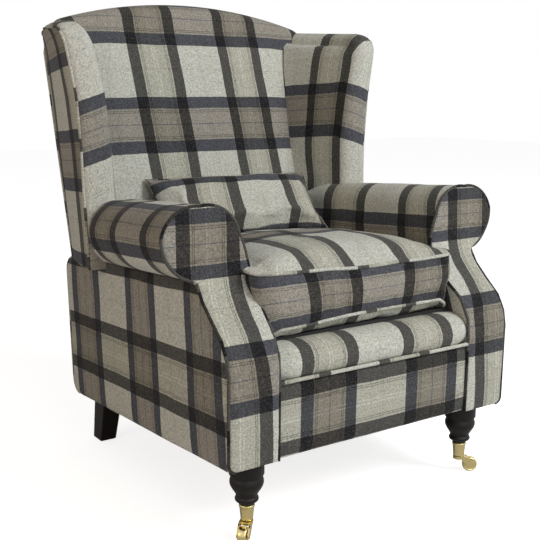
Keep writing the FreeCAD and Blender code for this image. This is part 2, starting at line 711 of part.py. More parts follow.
def horn():
    """Swivel plate with two cheeks that reach back to the wheel's axle, trailing to +X."""
    top = CUP_FOOT_Z - HORN_TOP_GAP
    low = top - HORN_H
    inner = WHEEL_W / 2 + HORN_GAP
    outer = inner + HORN_T
    plate_r = outer
    plate_end = TRAIL - math.sqrt((WHEEL_R + 1) ** 2 - (low - WHEEL_R) ** 2)
    plate = Part.makeCylinder(plate_r, HORN_H, V(0, 0, low))
    plate = plate.fuse(Part.makeBox(plate_end, 2 * outer, HORN_H, V(0, -outer, low)))
    plate = plate.cut(Part.makeBox(FAR, FAR, FAR, V(plate_end, -FAR / 2, 0)))
    cheeks = []
    eye = WHEEL_R
    for side in (-1, 1):
        y = inner if side > 0 else -outer
        back = math.sqrt(0.5) * HORN_EYE_R
        outline = edge_chain(V(0, y, top), [
            (V(TRAIL * 0.62, y, top - 1.5), V(TRAIL + back, y, eye + back)),
            (V(TRAIL + HORN_EYE_R * 0.38, y, eye - HORN_EYE_R * 0.92), V(TRAIL - back, y, eye - back)),
            V(3, y, low), V(0, y, low), V(0, y, top)])
        cheeks.append(prism(outline, V(0, HORN_T, 0)))
    pintle = Part.makeCylinder(PINTLE_R, PINTLE_TOP - low - 1, V(0, 0, low + 1))
    return solid_of(plate.fuse(cheeks + [pintle]))


def wheel():
    half = WHEEL_W / 2
    centre = V(TRAIL, -half, WHEEL_R)
    tread = Part.makeCylinder(WHEEL_R, WHEEL_W, centre, V(0, 1, 0))
    return tread.cut(Part.makeCylinder(WHEEL_BORE_R, WHEEL_W, centre, V(0, 1, 0)))


def axle():
    reach = WHEEL_W / 2 + HORN_GAP
    return Part.makeCylinder(AXLE_R, 2 * reach, V(TRAIL, -reach, WHEEL_R), V(0, 1, 0))


def write_castor(side, x, angle):
    for name, shape in (("castor_cup", cup()), ("castor_horn", horn()),
                        ("castor_wheel", wheel()), ("castor_axle", axle())):
        shape.rotate(V(0, 0, 0), V(0, 0, 1), angle)
        shape.translate(V(x, LEG_Y, 0))
        write(name + "_" + side, shape)


# Loose seat cushion: lofted sections with crown, drawn-in sides and soft front

def cushion_section(y, half, edge_low, edge_top, crown):
    swell = (edge_low + edge_top) / 2
    return edge_chain(V(-half, y, edge_low), [
        V(half, y, edge_low), V(half + CUSHION_SWELL, y, swell), V(half, y, edge_top),
        (V(0, y, crown), V(-half, y, edge_top)),
        V(-half - CUSHION_SWELL, y, swell), V(-half, y, edge_low)])


cushion_rear = inner_back_y(CUSHION_BOTTOM) - CUSHION_GAP
cushion_len = cushion_rear - CUSHION_FRONT
crown_z = CUSHION_EDGE_TOP + CUSHION_CROWN
low_front = CUSHION_EDGE_TOP - CUSHION_FRONT_DROP
cushion_rows = [
    (CUSHION_FRONT, CUSHION_HALF - 12, CUSHION_BOTTOM + 18, low_front - 10, low_front - 4),
    (CUSHION_FRONT + 12, CUSHION_HALF - 3, CUSHION_BOTTOM, low_front, low_front + 10),
    (CUSHION_FRONT + 0.2 * cushion_len, CUSHION_HALF - 1, CUSHION_BOTTOM, CUSHION_EDGE_TOP - 2, crown_z - 3),
    (CUSHION_FRONT + 0.6 * cushion_len, CUSHION_HALF - 1, CUSHION_BOTTOM, CUSHION_EDGE_TOP, crown_z),
    (CUSHION_FRONT + 0.92 * cushion_len, CUSHION_HALF - 2, CUSHION_BOTTOM, CUSHION_EDGE_TOP - 2,
     CUSHION_EDGE_TOP + 8),
    (cushion_rear, CUSHION_HALF - 8, CUSHION_BOTTOM + 6, CUSHION_EDGE_TOP - 12, CUSHION_EDGE_TOP - 6),
]
seat_cushion = Part.makeLoft([cushion_section(*row) for row in cushion_rows], True, True)
seat_cushion = solid_of(seat_cushion.cut(box(-FAR, FAR, -FAR, FAR, 0, LIP_TOP + CUSHION_GAP)))

# Back pillow: lens sections that close to a seam all round

def pillow_section(x, half_h, half_t, edge):
    """Lens outline: thin at the seams and full in the middle."""
    front = [V(x, -half_h * c, -max(edge, half_t * f)) for c, f in PILLOW_LENS]
    rear = [V(x, half_h * c, max(edge, half_t * f)) for c, f in PILLOW_LENS]
    return Part.makePolygon(front + rear + front[:1])


half_w = PILLOW_W / 2
half_h = PILLOW_H / 2
half_t = PILLOW_T / 2
edge_t = PILLOW_EDGE / 2
pillow_rows = [(1.0, 1.0, 0.14), (0.9, 0.95, 0.45), (0.6, 0.93, 0.88), (0.2, 0.93, 1.0)]
stations = pillow_rows + [(-s, h, t) for s, h, t in reversed(pillow_rows)]
pillow = Part.makeLoft([
    pillow_section(-s * half_w, h * half_h, t * half_t + 1, edge_t * (0.5 + 0.5 * t))
    for s, h, t in stations], True, True)
pillow.rotate(V(0, 0, 0), V(1, 0, 0), PILLOW_TILT)
pillow.translate(V(PILLOW_X, PILLOW_Y, PILLOW_Z))

# Dust cover under the rails, notched round the legs

dust_cover = box(-side_rail_in - 10, side_rail_in + 10, stump_rear, BACK_RAIL_Y + 20, RAIL_Z - DUST_T, RAIL_Z)
dust_cover = raked(dust_cover)
rear_right = rear_leg()
for leg in (left_leg, mirrored(left_leg), rear_right, mirrored(rear_right)):
    b = leg.BoundBox
    dust_cover = dust_cover.cut(box(b.XMin - 1, b.XMax + 1, b.YMin - 60, b.YMax + 60, 0, FAR)
                                if b.YMin > 0 else box(b.XMin - 1, b.XMax + 1, -FAR, b.YMax + 1, 0, FAR))

# Output

write("front_rail", raked(front_rail))
write("back_rail", raked(back_rail))
write_pair("side_rail", side_rail)
write_pair("arm_stump", arm_stump)
write_pair("arm_rail", arm_rail)
write_pair("back_post", back_post)
write("back_top_rail", raked(top_rail))
write("back_middle_rail", raked(mid_rail))
write_pair("wing_frame", wing_frame)
write("back_webbing", raked(back_net))
write("seat_webbing", raked(seat_net))
write("seat_deck", raked(deck))
write("front_lip", raked(lip))
write("front_border", raked(border))
write("inside_back", raked(inside_back))
write("outside_back", raked(outside_back))
write("lower_rear_panel", solid_of(raked(lower_rear).cut([rear_right, mirrored(rear_right)])))
write_pair("wing_pad", wing_pad)
write_pair("wing_outer", wing_outer)
write_pair("arm_pad", arm_pad)
write_pair("outside_arm", outside_arm)
write_pair("arm_facing", arm_facing)
write("seat_cushion", raked(seat_cushion))
write("back_pillow", raked(pillow))
write("dust_cover", dust_cover)

for side, flip in (("right", False), ("left", True)):
    def placed(shape):
        return mirrored(shape) if flip else shape
    block_front = raked(front_block).cut(bolt)
    block_rear = raked(rear_block).cut(rear_bolt)
    write("front_corner_block_" + side, placed(block_front))
    write("rear_corner_block_" + side, placed(block_rear))
    write("front_leg_" + side, placed(left_leg))
    write("rear_leg_" + side, placed(rear_right.cut(rear_bolt)))
    write("front_leg_bolt_" + side, placed(bolt.cut(raked(front_rail))))
    write("rear_leg_bolt_" + side, placed(rear_bolt))

write_castor("left", -LEG_X, TRAIL_ANGLE_LEFT)
write_castor("right", LEG_X, TRAIL_ANGLE_RIGHT)

# The origin stands on the floor, midway between the foremost and rearmost points

foremost = model["front_lip"].optimalBoundingBox().YMin
rearmost = model["inside_back"].optimalBoundingBox().YMax
to_origin = V(0, -(foremost + rearmost) / 2, 0)
print("moved to the origin by", round(to_origin.y, 3))

for name, shape in model.items():
    placed_shape = shape.copy()
    placed_shape.translate(to_origin)
    placed_shape.exportStep("parts/" + name + ".step")
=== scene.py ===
import math
import bmesh
import bpy
import numpy as np
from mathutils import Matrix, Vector, noise


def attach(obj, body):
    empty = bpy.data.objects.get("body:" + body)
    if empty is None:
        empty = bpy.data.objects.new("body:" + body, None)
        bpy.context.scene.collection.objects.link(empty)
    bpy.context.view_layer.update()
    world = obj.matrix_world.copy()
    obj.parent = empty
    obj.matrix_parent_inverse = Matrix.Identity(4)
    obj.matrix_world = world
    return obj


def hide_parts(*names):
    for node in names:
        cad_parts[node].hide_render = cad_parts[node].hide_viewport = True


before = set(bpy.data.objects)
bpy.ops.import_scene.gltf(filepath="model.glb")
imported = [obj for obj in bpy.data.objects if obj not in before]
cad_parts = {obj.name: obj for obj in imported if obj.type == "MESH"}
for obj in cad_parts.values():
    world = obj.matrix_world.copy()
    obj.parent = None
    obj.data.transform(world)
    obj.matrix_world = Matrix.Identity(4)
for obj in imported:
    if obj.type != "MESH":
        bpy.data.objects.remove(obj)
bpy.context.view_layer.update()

scene = bpy.context.scene
scene.view_settings.view_transform = "Standard"


def linked(name, data):
    piece = bpy.data.objects.new(name, data)
    scene.collection.objects.link(piece)
    return piece


# The camera stands at the photograph's viewpoint
lens = bpy.data.cameras.new("viewpoint")
camera = linked("viewpoint", lens)
lens.sensor_width = 36.0
lens.lens = 61.0
camera.location = (-1.143, -1.7171, 0.820)
camera.rotation_euler = (math.radians(79.2), 0.0, math.radians(-34.1))
scene.camera = camera

# The chair's own measures, in millimetres, level before the rake
RAKE = math.radians(3.3)
SHIFT_Y = -68.0954
FRONT, FLOOR_LINE = -345.0, 160.0
HALF = 348.0
INNER = 240.0
RECLINE = math.radians(11.5)
BACK_Y, BACK_Z = 240.0, 500.0
BACK_PEAK, BACK_THICK, BACK_LOW = 602.0, 86.0, -118.0
ARCH = 1136.0
REAR, REAR_TOP, REAR_LOW_R, REAR_HIGH_R = 372.0, 490.0, 35.0, 38.0
PIPING = 3.2
ARM_TOP, SCROLL_FOOT = 631.0, 495.0
BETWEEN_ARMS = 239.5
LEG_X, LEG_Y = 279.0, -363.095
AXLE_Z = 16.0

# Points nearer than this, in metres, are joined
STITCH = 0.00008


def to_room(level):
    """Level millimetres to the raked chair in metres."""
    level = np.asarray(level, float)
    y = level[..., 1] - FRONT
    z = level[..., 2] - FLOOR_LINE
    out = np.empty_like(level)
    out[..., 0] = level[..., 0]
    out[..., 1] = FRONT + y * math.cos(RAKE) + z * math.sin(RAKE) + SHIFT_Y
    out[..., 2] = FLOOR_LINE - y * math.sin(RAKE) + z * math.cos(RAKE)
    return out / 1000


def on_back(x, w, v):
    """Level point of the reclined back from width, depth and height."""
    y = BACK_Y + w * math.cos(RECLINE) + v * math.sin(RECLINE)
    z = BACK_Z - w * math.sin(RECLINE) + v * math.cos(RECLINE)
    return np.stack(np.broadcast_arrays(x, y, z), -1)


def back_y(z):
    return BACK_Y + (z - BACK_Z) * math.tan(RECLINE)


REAR_RUN = BACK_THICK / math.cos(RECLINE)
REAR_WARP = 66.5


# Middles of the plaid's dark warp stripes and navy weft bands, for one repeat and a half
WARP_DARK = (14, 119, 266, 371)
WEFT_DARK = (14.5, 119.5, 282.5, 387.5)


def along(value, places, marks):
    """Straight runs between matched places, carried on at full scale past the ends."""
    value = np.asarray(value, float)
    places = np.asarray(places, float)
    marks = np.asarray(marks, float)
    out = np.interp(value, places, marks)
    out = np.where(value < places[0], marks[0] + value - places[0], out)
    return np.where(value > places[-1], marks[-1] + value - places[-1], out)


def smoothstep(value, low, high):
    t = np.clip((value - low) / (high - low), 0, 1)
    return t * t * (3 - 2 * t)


def arc(a, b, c, count):
    """Points on the arc from a through b to c, without its first point."""
    (ax, ay), (bx, by), (cx, cy) = a, b, c
    d = 2 * (ax * (by - cy) + bx * (cy - ay) + cx * (ay - by))
    sa, sb, sc = ax * ax + ay * ay, bx * bx + by * by, cx * cx + cy * cy
    ux = (sa * (by - cy) + sb * (cy - ay) + sc * (ay - by)) / d
    uy = (sa * (cx - bx) + sb * (ax - cx) + sc * (bx - ax)) / d
    r = math.hypot(ax - ux, ay - uy)
    t0, t1, t2 = (math.atan2(p[1] - uy, p[0] - ux) for p in (a, b, c))
    span = (t2 - t0) % math.tau
    if (t1 - t0) % math.tau > span:
        span -= math.tau
    return [(ux + r * math.cos(t0 + span * i / count), uy + r * math.sin(t0 + span * i / count))
            for i in range(1, count + 1)]


def line(a, b, count):
    return [(a[0] + (b[0] - a[0]) * i / count, a[1] + (b[1] - a[1]) * i / count) for i in range(1, count + 1)]


# Swept front profile: depth against height
sweep = [(FLOOR_LINE, FRONT)] + line((160.0, -345.0), (325.0, -357.0), 12)
sweep += arc((325.0, -357.0), (385.0, -347.0), (424.0, -312.0), 12)
sweep += line((424.0, -312.0), (462.0, -276.0), 4)
sweep += arc((462.0, -276.0), (495.0, -258.0), (545.0, -253.0), 10)
sweep += line((545.0, -253.0), (700.0, -257.0), 4)
sweep = np.array(sweep)


def front_y(z):
    return np.interp(z, sweep[:, 0], sweep[:, 1])


def arm_profile(shift, low=300.0):
    """Right arm in x and z: up the inner face, over the scroll, to the neck."""
    reach, top_x = 413.0 - shift, 333.0 - shift / 2
    path = [(INNER, low)] + line((INNER, low), (INNER, 400.0), 6)
    path += arc((INNER, 400.0), (234.5, 443.0), (231.0, 486.0), 6)
    path += arc((231.0, 486.0), (235.0, 530.0), (250.0, 574.0), 8)
    path += arc((250.0, 574.0), (273.0, 615.0), (top_x, ARM_TOP), 14)
    path += arc((top_x, ARM_TOP), ((top_x + reach) / 2 + 14, 617.0), (reach, 578.0), 14)
    path += arc((reach, 578.0), ((HALF + reach) / 2 + 9, 517.0), (HALF, SCROLL_FOOT), 14)
    return np.array(path)


# Cloth mesh from a grid of level points and pattern places, both in millimetres

def woven(name, patches):
    """Quads over each grid of points, with the places in the pattern as their own map."""
    points, marks, faces = [], [], []
    for grid, places in patches:
        rows, cols = grid.shape[:2]
        start = sum(len(p) for p in points)
        points.append(to_room(grid).reshape(-1, 3))
        marks.append((places / 1000).reshape(-1, 2))
        for i in range(rows - 1):
            for j in range(cols - 1):
                a = start + i * cols + j
                faces.append((a, a + 1, a + cols + 1, a + cols))
    flat = np.concatenate(marks)
    mesh = bpy.data.meshes.new(name)
    mesh.from_pydata(np.concatenate(points).tolist(), [], faces)
    mesh.update()
    weave = mesh.uv_layers.new(name="weave")
    weave.data.foreach_set("uv", np.array([flat[loop.vertex_index] for loop in mesh.loops]).ravel())
    return mesh


def stitched(work):
    bmesh.ops.remove_doubles(work, verts=work.verts, dist=STITCH)
    bmesh.ops.dissolve_degenerate(work, edges=work.edges, dist=STITCH / 4)


def grid_mesh(name, points, marks, core):
    """Open cover over one grid, faced away from the core."""
    mesh = woven(name, [(points, marks)])
    core = Vector(to_room(np.array(core, float)))
    outward = sum(f.normal.dot(f.center - core) * f.area for f in mesh.polygons)
    work = bmesh.new()
    work.from_mesh(mesh)
    if outward < 0:
        bmesh.ops.reverse_faces(work, faces=work.faces)
    stitched(work)
    work.to_mesh(mesh)
    work.free()
    mesh.shade_smooth()
    return linked(name, mesh)


def smoothed(piece):
    soft = piece.modifiers.new("Smooth", "SUBSURF")
    soft.levels = soft.render_levels = 1


def backed(piece, thick=0.006):
    """Gives a cover a smooth finish and its lining thickness."""
    smoothed(piece)
    lining = piece.modifiers.new("Lining", "SOLIDIFY")
    lining.thickness = thick
    lining.offset = -1.0


def finish(piece, body, slot, material, *nodes, fill=None):
    piece.data.materials.clear()
    piece.data.materials.append(material)
    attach(piece, body)
    if nodes:
        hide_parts(*nodes)
    return piece


def cover(piece, node, fill, thick=0.006):
    """Fixed check cover over one pad or panel of the chair."""
    backed(piece, thick)
    finish(piece, "chair", "check_cloth", check, node, fill=fill)


def arc_length(points):
    """Running length along the first axis of a row of points."""
    steps = np.linalg.norm(np.diff(points, axis=0), axis=-1)
    return np.concatenate([np.zeros((1,) + steps.shape[1:]), np.cumsum(steps, axis=0)])


def unevenness(points, size, depth, seed):
    """Small hollows and swellings of stuffed cloth, repeatable from its seed."""
    flat = points.reshape(-1, 3)
    place = Vector((seed * 7.3, seed * 3.1, seed * 1.7))
    out = [noise.noise(Vector(p) / size + place) * depth for p in flat]
    return np.array(out).reshape(points.shape[:-1])


# Materials

def node_kit(name):
    material = bpy.data.materials.new(name)
    material.use_nodes = True
    tree = material.node_tree
    shader = tree.nodes["Principled BSDF"]

    def add(kind, **values):
        made = tree.nodes.new(kind)
        for key, value in values.items():
            setattr(made, key, value)
        return made

    def maths(operation, a, b=0.0, clamp=False):
        made = add("ShaderNodeMath", operation=operation, use_clamp=clamp)
        for socket, value in zip(made.inputs, (a, b)):
            if hasattr(value, "links"):
                tree.links.new(value, socket)
            else:
                socket.default_value = value
        return made.outputs[0]

    def mix(kind, factor, a, b):
        made = add("ShaderNodeMix", data_type="RGBA", blend_type=kind)
        for socket, value in zip((made.inputs[0], made.inputs[6], made.inputs[7]), (factor, a, b)):
            if hasattr(value, "links"):
                tree.links.new(value, socket)
            else:
                socket.default_value = value
        return made.outputs[2]

    return material, tree, shader, add, maths, mix


def stripes(add, value, tree, period, stops):
    """Constant colour ramp over one repeat of a sett, its stops in millimetres."""
    ramp = add("ShaderNodeValToRGB")
    ramp.color_ramp.interpolation = "CONSTANT"
    tree.links.new(value, ramp.inputs[0])
    marks = ramp.color_ramp.elements
    marks[1].position = 0.999
    for n, (place, colour) in enumerate(stops):
        mark = marks[0] if n == 0 else marks.new(place / period)
        mark.position = place / period
        mark.color = (*colour, 1.0)
    marks[len(marks) - 1].color = (*stops[-1][1], 1.0)
    return ramp.outputs[0]


WARP_REPEAT, WEFT_REPEAT, CREAM_START = 252.0, 268.0, 134.0
CHARCOAL, PALE, CREAM = (0.140, 0.138, 0.142), (0.80, 0.79, 0.74), (1.0, 1.0, 1.0)
PALE_LINE, BRIGHT_LINE, FAINT_LINE = (0.45, 0.44, 0.43), (1.0, 1.0, 0.98), (0.87, 0.85, 0.82)
NAVY, TAUPE = (0.135, 0.14, 0.185), (0.56, 0.52, 0.50)
TAUPE_LINE, BLUE_LINE = (0.33, 0.31, 0.31), (0.27, 0.28, 0.36)
WARP = [(0, CHARCOAL), (28, PALE), (32, PALE_LINE), (33.6, PALE), (36, PALE_LINE), (37.6, PALE),
        (62, BRIGHT_LINE), (64, PALE), (69, BRIGHT_LINE), (71, PALE), (95.4, PALE_LINE), (97, PALE),
        (99.4, PALE_LINE), (101, PALE), (105, CHARCOAL), (133, CREAM), (188, FAINT_LINE), (189.6, CREAM),
        (194, FAINT_LINE), (195.6, CREAM)]
WEFT = [(0, NAVY), (29, TAUPE), (33, TAUPE_LINE), (34.6, TAUPE), (37.4, TAUPE_LINE), (39, TAUPE),
        (66, BLUE_LINE), (68.6, TAUPE), (95, TAUPE_LINE), (96.6, TAUPE), (99.4, TAUPE_LINE), (101, TAUPE),
        (105, NAVY), (CREAM_START, CREAM), (198, FAINT_LINE), (199.6, CREAM), (204, FAINT_LINE),
        (205.6, CREAM)]


def wool_check():
    """Wool plaid: warp stripes times weft bands, heathered and softly napped."""
    material, tree, shader, add, maths, mix = node_kit("wool_check")
    link = tree.links.new
    pattern = add("ShaderNodeUVMap", uv_map="weave")
    place = add("ShaderNodeTexCoord")
    fuzz = add("ShaderNodeTexNoise")
    fuzz.inputs["Scale"].default_value = 900.0
    fuzz.inputs["Detail"].default_value = 2.0
    link(place.outputs["Object"], fuzz.inputs["Vector"])
    drift = add("ShaderNodeTexNoise")
    drift.inputs["Scale"].default_value = 9.0
    link(place.outputs["Object"], drift.inputs["Vector"])
    split = add("ShaderNodeSeparateXYZ")
    link(pattern.outputs[0], split.inputs[0])
    fray = maths("MULTIPLY", maths("SUBTRACT", fuzz.outputs["Fac"], 0.5), 0.0035)
    stray = maths("MULTIPLY", maths("SUBTRACT", drift.outputs["Fac"], 0.5), 0.006)
    off = maths("ADD", fray, stray)
    across = maths("FRACT", maths("DIVIDE", maths("ADD", split.outputs[0], off), WARP_REPEAT / 1000))
    down = maths("FRACT", maths("DIVIDE", maths("ADD", split.outputs[1], off), WEFT_REPEAT / 1000))
    warp = stripes(add, across, tree, WARP_REPEAT, WARP)
    weft = stripes(add, down, tree, WEFT_REPEAT, WEFT)
    sett = mix("MULTIPLY", 1.0, warp, weft)
    cloth = mix("MULTIPLY", 1.0, sett, (0.545, 0.548, 0.492, 1.0))
    heather = add("ShaderNodeTexNoise")
    heather.inputs["Scale"].default_value = 300.0
    heather.inputs["Detail"].default_value = 3.0
    heather.inputs["Roughness"].default_value = 0.7
    link(place.outputs["Object"], heather.inputs["Vector"])
    level = add("ShaderNodeMapRange")
    link(heather.outputs["Fac"], level.inputs["Value"])
    level.inputs["From Min"].default_value = 0.32
    level.inputs["From Max"].default_value = 0.68
    level.inputs["To Min"].default_value = 0.58
    level.inputs["To Max"].default_value = 1.38
    grey = add("ShaderNodeCombineColor")
    for socket in grey.inputs:
        link(level.outputs[0], socket)
    speckled = mix("MULTIPLY", 1.0, cloth, grey.outputs[0])
    pale = maths("MULTIPLY", maths("SUBTRACT", heather.outputs["Fac"], 0.50, clamp=True), 0.5)
    napped = mix("MIX", pale, speckled, (0.42, 0.41, 0.38, 1.0))
    link(napped, shader.inputs["Base Color"])
    twill = add("ShaderNodeTexWave", wave_type="BANDS", bands_direction="DIAGONAL")
    twill.inputs["Scale"].default_value = 190.0
    twill.inputs["Distortion"].default_value = 1.5
    link(pattern.outputs[0], twill.inputs["Vector"])
    relief = maths("ADD", maths("MULTIPLY", twill.outputs["Fac"], 0.5), heather.outputs["Fac"])
    bump = add("ShaderNodeBump")
    bump.inputs["Strength"].default_value = 0.35
    bump.inputs["Distance"].default_value = 0.0006
    link(relief, bump.inputs["Height"])
    link(bump.outputs[0], shader.inputs["Normal"])
    shader.inputs["Roughness"].default_value = 0.92
    shader.inputs["Specular IOR Level"].default_value = 0.15
    shader.inputs["Sheen Weight"].default_value = 0.05
    shader.inputs["Sheen Roughness"].default_value = 0.5
    return material


def plain_finish(name, dark, light, scale, stretch, rough, metal=0.0, shine=0.5, depth=0.0003):
    """Two-tone procedural finish with its grain drawn out along one axis."""
    material, tree, shader, add, _, mix = node_kit(name)
    link = tree.links.new
    place = add("ShaderNodeTexCoord")
    turn = add("ShaderNodeMapping")
    turn.inputs["Scale"].default_value = stretch
    link(place.outputs["Object"], turn.inputs["Vector"])
    grain = add("ShaderNodeTexNoise")
    grain.inputs["Scale"].default_value = scale
    grain.inputs["Detail"].default_value = 5.0
    link(turn.outputs[0], grain.inputs["Vector"])
    tone = mix("MIX", grain.outputs["Fac"], (*dark, 1.0), (*light, 1.0))
    link(tone, shader.inputs["Base Color"])
    polish = add("ShaderNodeMapRange")
    link(grain.outputs["Fac"], polish.inputs["Value"])
    polish.inputs["To Min"].default_value = rough - 0.06
    polish.inputs["To Max"].default_value = rough + 0.10
    link(polish.outputs[0], shader.inputs["Roughness"])
    bump = add("ShaderNodeBump")
    bump.inputs["Strength"].default_value = 0.3
    bump.inputs["Distance"].default_value = depth
    link(grain.outputs["Fac"], bump.inputs["Height"])
    link(bump.outputs[0], shader.inputs["Normal"])
    shader.inputs["Metallic"].default_value = metal
    shader.inputs["Specular IOR Level"].default_value = shine
    return material


EVEN = (1, 1, 1)
check = wool_check()
leg_black = plain_finish("leg_black", (0.004, 0.0035, 0.0035), (0.013, 0.010, 0.009), 30.0, (6, 6, 0.6),
                         0.42, shine=0.25)
brass = plain_finish("polished_brass", (0.58, 0.47, 0.20), (0.74, 0.63, 0.33), 60.0, EVEN,
                     0.17, metal=1.0, depth=0.0001)
steel = plain_finish("zinc_steel", (0.42, 0.42, 0.43), (0.60, 0.60, 0.61), 80.0, EVEN, 0.35, metal=1.0)
beech = plain_finish("beech_frame", (0.42, 0.27, 0.15), (0.60, 0.42, 0.26), 22.0, (1, 1, 0.15), 0.6)
jute = plain_finish("jute_webbing", (0.20, 0.14, 0.08), (0.36, 0.27, 0.17), 400.0, EVEN, 0.9)
lining_black = plain_finish("black_lining", (0.012, 0.012, 0.013), (0.03, 0.03, 0.032), 900.0, EVEN, 0.95)


# Piping, swept along a seam by Geometry Nodes

def piping_tree():
    tree = bpy.data.node_groups.new("seam_piping", "GeometryNodeTree")
    face = tree.interface
    face.new_socket("Geometry", in_out="INPUT", socket_type="NodeSocketGeometry")
    for name, start in (("Cord radius", PIPING / 1000), ("Across start", 0.0), ("Down start", 0.0),
                        ("Across run", 1.0), ("Down run", 0.0)):
        face.new_socket(name, in_out="INPUT", socket_type="NodeSocketFloat").default_value = start
    face.new_socket("Cloth", in_out="INPUT", socket_type="NodeSocketMaterial")
    face.new_socket("Geometry", in_out="OUTPUT", socket_type="NodeSocketGeometry")
    new = tree.nodes.new
    link = tree.links.new
    given, result = new("NodeGroupInput"), new("NodeGroupOutput")
    curve = new("GeometryNodeMeshToCurve")
    link(given.outputs["Geometry"], curve.inputs["Mesh"])
    run = new("GeometryNodeSplineParameter")
    kept = new("GeometryNodeCaptureAttribute")
    kept.capture_items.new("FLOAT", "Run")
    link(curve.outputs["Curve"], kept.inputs["Geometry"])
    link(run.outputs["Length"], kept.inputs["Run"])
    ring = new("GeometryNodeCurvePrimitiveCircle")
    ring.inputs["Resolution"].default_value = 8
    link(given.outputs["Cord radius"], ring.inputs["Radius"])
    cord = new("GeometryNodeCurveToMesh")
    link(kept.outputs["Geometry"], cord.inputs["Curve"])
    link(ring.outputs["Curve"], cord.inputs["Profile Curve"])
    cord.inputs["Fill Caps"].default_value = True
    places = []
    for axis in ("Across", "Down"):
        step = new("ShaderNodeMath")
        step.operation = "MULTIPLY_ADD"
        link(kept.outputs["Run"], step.inputs[0])
        link(given.outputs[axis + " run"], step.inputs[1])
        link(given.outputs[axis + " start"], step.inputs[2])
        places.append(step.outputs[0])
    pair = new("ShaderNodeCombineXYZ")
    link(places[0], pair.inputs[0])
    link(places[1], pair.inputs[1])
    store = new("GeometryNodeStoreNamedAttribute")
    store.data_type = "FLOAT2"
    store.domain = "CORNER"
    store.inputs["Name"].default_value = "weave"
    link(cord.outputs["Mesh"], store.inputs["Geometry"])
    link(pair.outputs[0], store.inputs["Value"])
    real = new("GeometryNodeRealizeInstances")
    link(store.outputs["Geometry"], real.inputs["Geometry"])
    dress = new("GeometryNodeSetMaterial")
    link(real.outputs["Geometry"], dress.inputs["Geometry"])
    link(given.outputs["Cloth"], dress.inputs["Material"])
    link(dress.outputs["Geometry"], result.inputs["Geometry"])
    return tree


def settled(piece, tree, **values):
    """Runs a Geometry Nodes tree over a piece and keeps the plain mesh it makes."""
    step = piece.modifiers.new("Made", "NODES")
    step.node_group = tree
    sockets = {s.name: s.identifier for s in tree.interface.items_tree if s.in_out == "INPUT"}
    for name, value in values.items():
        step[sockets[name.replace("_", " ")]] = value
    evaluated = piece.evaluated_get(bpy.context.evaluated_depsgraph_get())
    made = bpy.data.meshes.new_from_object(evaluated)
    piece.modifiers.remove(step)
    piece.data = made
    for f in made.polygons:
        f.use_smooth = True
    return piece


piping_nodes = piping_tree()


def piping(name, room_points, closed=False, body="chair", radius=PIPING, across=(0.0, 1.0), down=(0.17, 0.0)):
    """Corded seam through points in metres; across and down give the pattern's start and run."""
    count = len(room_points)
    edges = [(i, i + 1) for i in range(count - 1)] + ([(count - 1, 0)] if closed else [])
    mesh = bpy.data.meshes.new(name)
    mesh.from_pydata([tuple(p) for p in room_points], edges, [])
    piece = linked(name, mesh)
    settled(piece, piping_nodes, Cord_radius=radius / 1000, Across_start=across[0], Across_run=across[1],
            Down_start=down[0], Down_run=down[1], Cloth=check)
    return finish(piece, body, "check_cloth", check)


DARK_CORD = dict(across=(0.014, 0.0), down=(0.0, 1.0))


# Arm facings, covers and panels

profile = arm_profile(0.0, FLOOR_LINE)
crest = int(np.argmax(profile[:, 1]))
inner_edge = profile[:crest + 1]
outer_edge = np.array(list(profile[crest:]) + line((HALF, SCROLL_FOOT), (HALF, 174.0), 10)
                      + arc((HALF, 174.0), (HALF - 4.1, 164.1), (HALF - 14.0, 160.0), 5))
facing_outline = np.concatenate([inner_edge, outer_edge[1:]])


def arm_facing(side, name):
    rows, cols = 60, 20
    t = 0.5 - 0.5 * np.cos(np.pi * np.arange(rows + 1) / rows)
    z = FLOOR_LINE + (ARM_TOP - FLOOR_LINE) * t
    x_in = np.interp(z, inner_edge[:, 1], inner_edge[:, 0])
    x_out = np.interp(z, outer_edge[::-1, 1], outer_edge[::-1, 0])
    s = 0.5 - 0.5 * np.cos(np.pi * np.arange(cols + 1) / cols)
    x = x_in[:, None] + (x_out - x_in)[:, None] * s[None, :]
    z = np.repeat(z[:, None], cols + 1, 1)
    edge = np.minimum(np.minimum(x - x_in[:, None], x_out[:, None] - x), 12.0) / 12.0
    edge = np.minimum(edge, np.minimum(ARM_TOP - z, z - FLOOR_LINE + 4) / 14.0)
    crown = 5.5 * np.sqrt(np.clip(1 - (1 - np.clip(edge, 0, 1)) ** 2, 0, 1))
    points = np.stack([side * x, front_y(z) + 2.5 - crown, z], -1)
    if side < 0:
        stripe_z = [202, 278, 341, 391, 428, 471, 515, 573]
        stripe_x = [-270, -271, -279, -284, -279, -273, -267, -266]
        dark, bands = WARP_DARK[1], [276, 379, 510, 614]
    else:
        stripe_z = [217, 299, 364, 433, 529, 596]
        stripe_x = [278, 272, 268, 294, 296, 295]
        dark, bands = WARP_DARK[0], [294, 396, 527, 612]
    u = dark + points[..., 0] - np.interp(z, stripe_z, stripe_x)
    marks = np.stack([u, along(z, bands, WEFT_DARK)], -1)
    points[..., 1] += unevenness(points, 60.0, 0.8, 3 + side)
    piece = grid_mesh("facing_cover_" + name, points, marks, (side * 300, 0, 400))
    cover(piece, "arm_facing_" + name, 0.5)
    rim_x, rim_z = facing_outline.T
    rim = np.stack([side * rim_x, front_y(rim_z) + 1.0, rim_z], -1)
    piping("facing_piping_" + name, to_room(rim), **DARK_CORD)


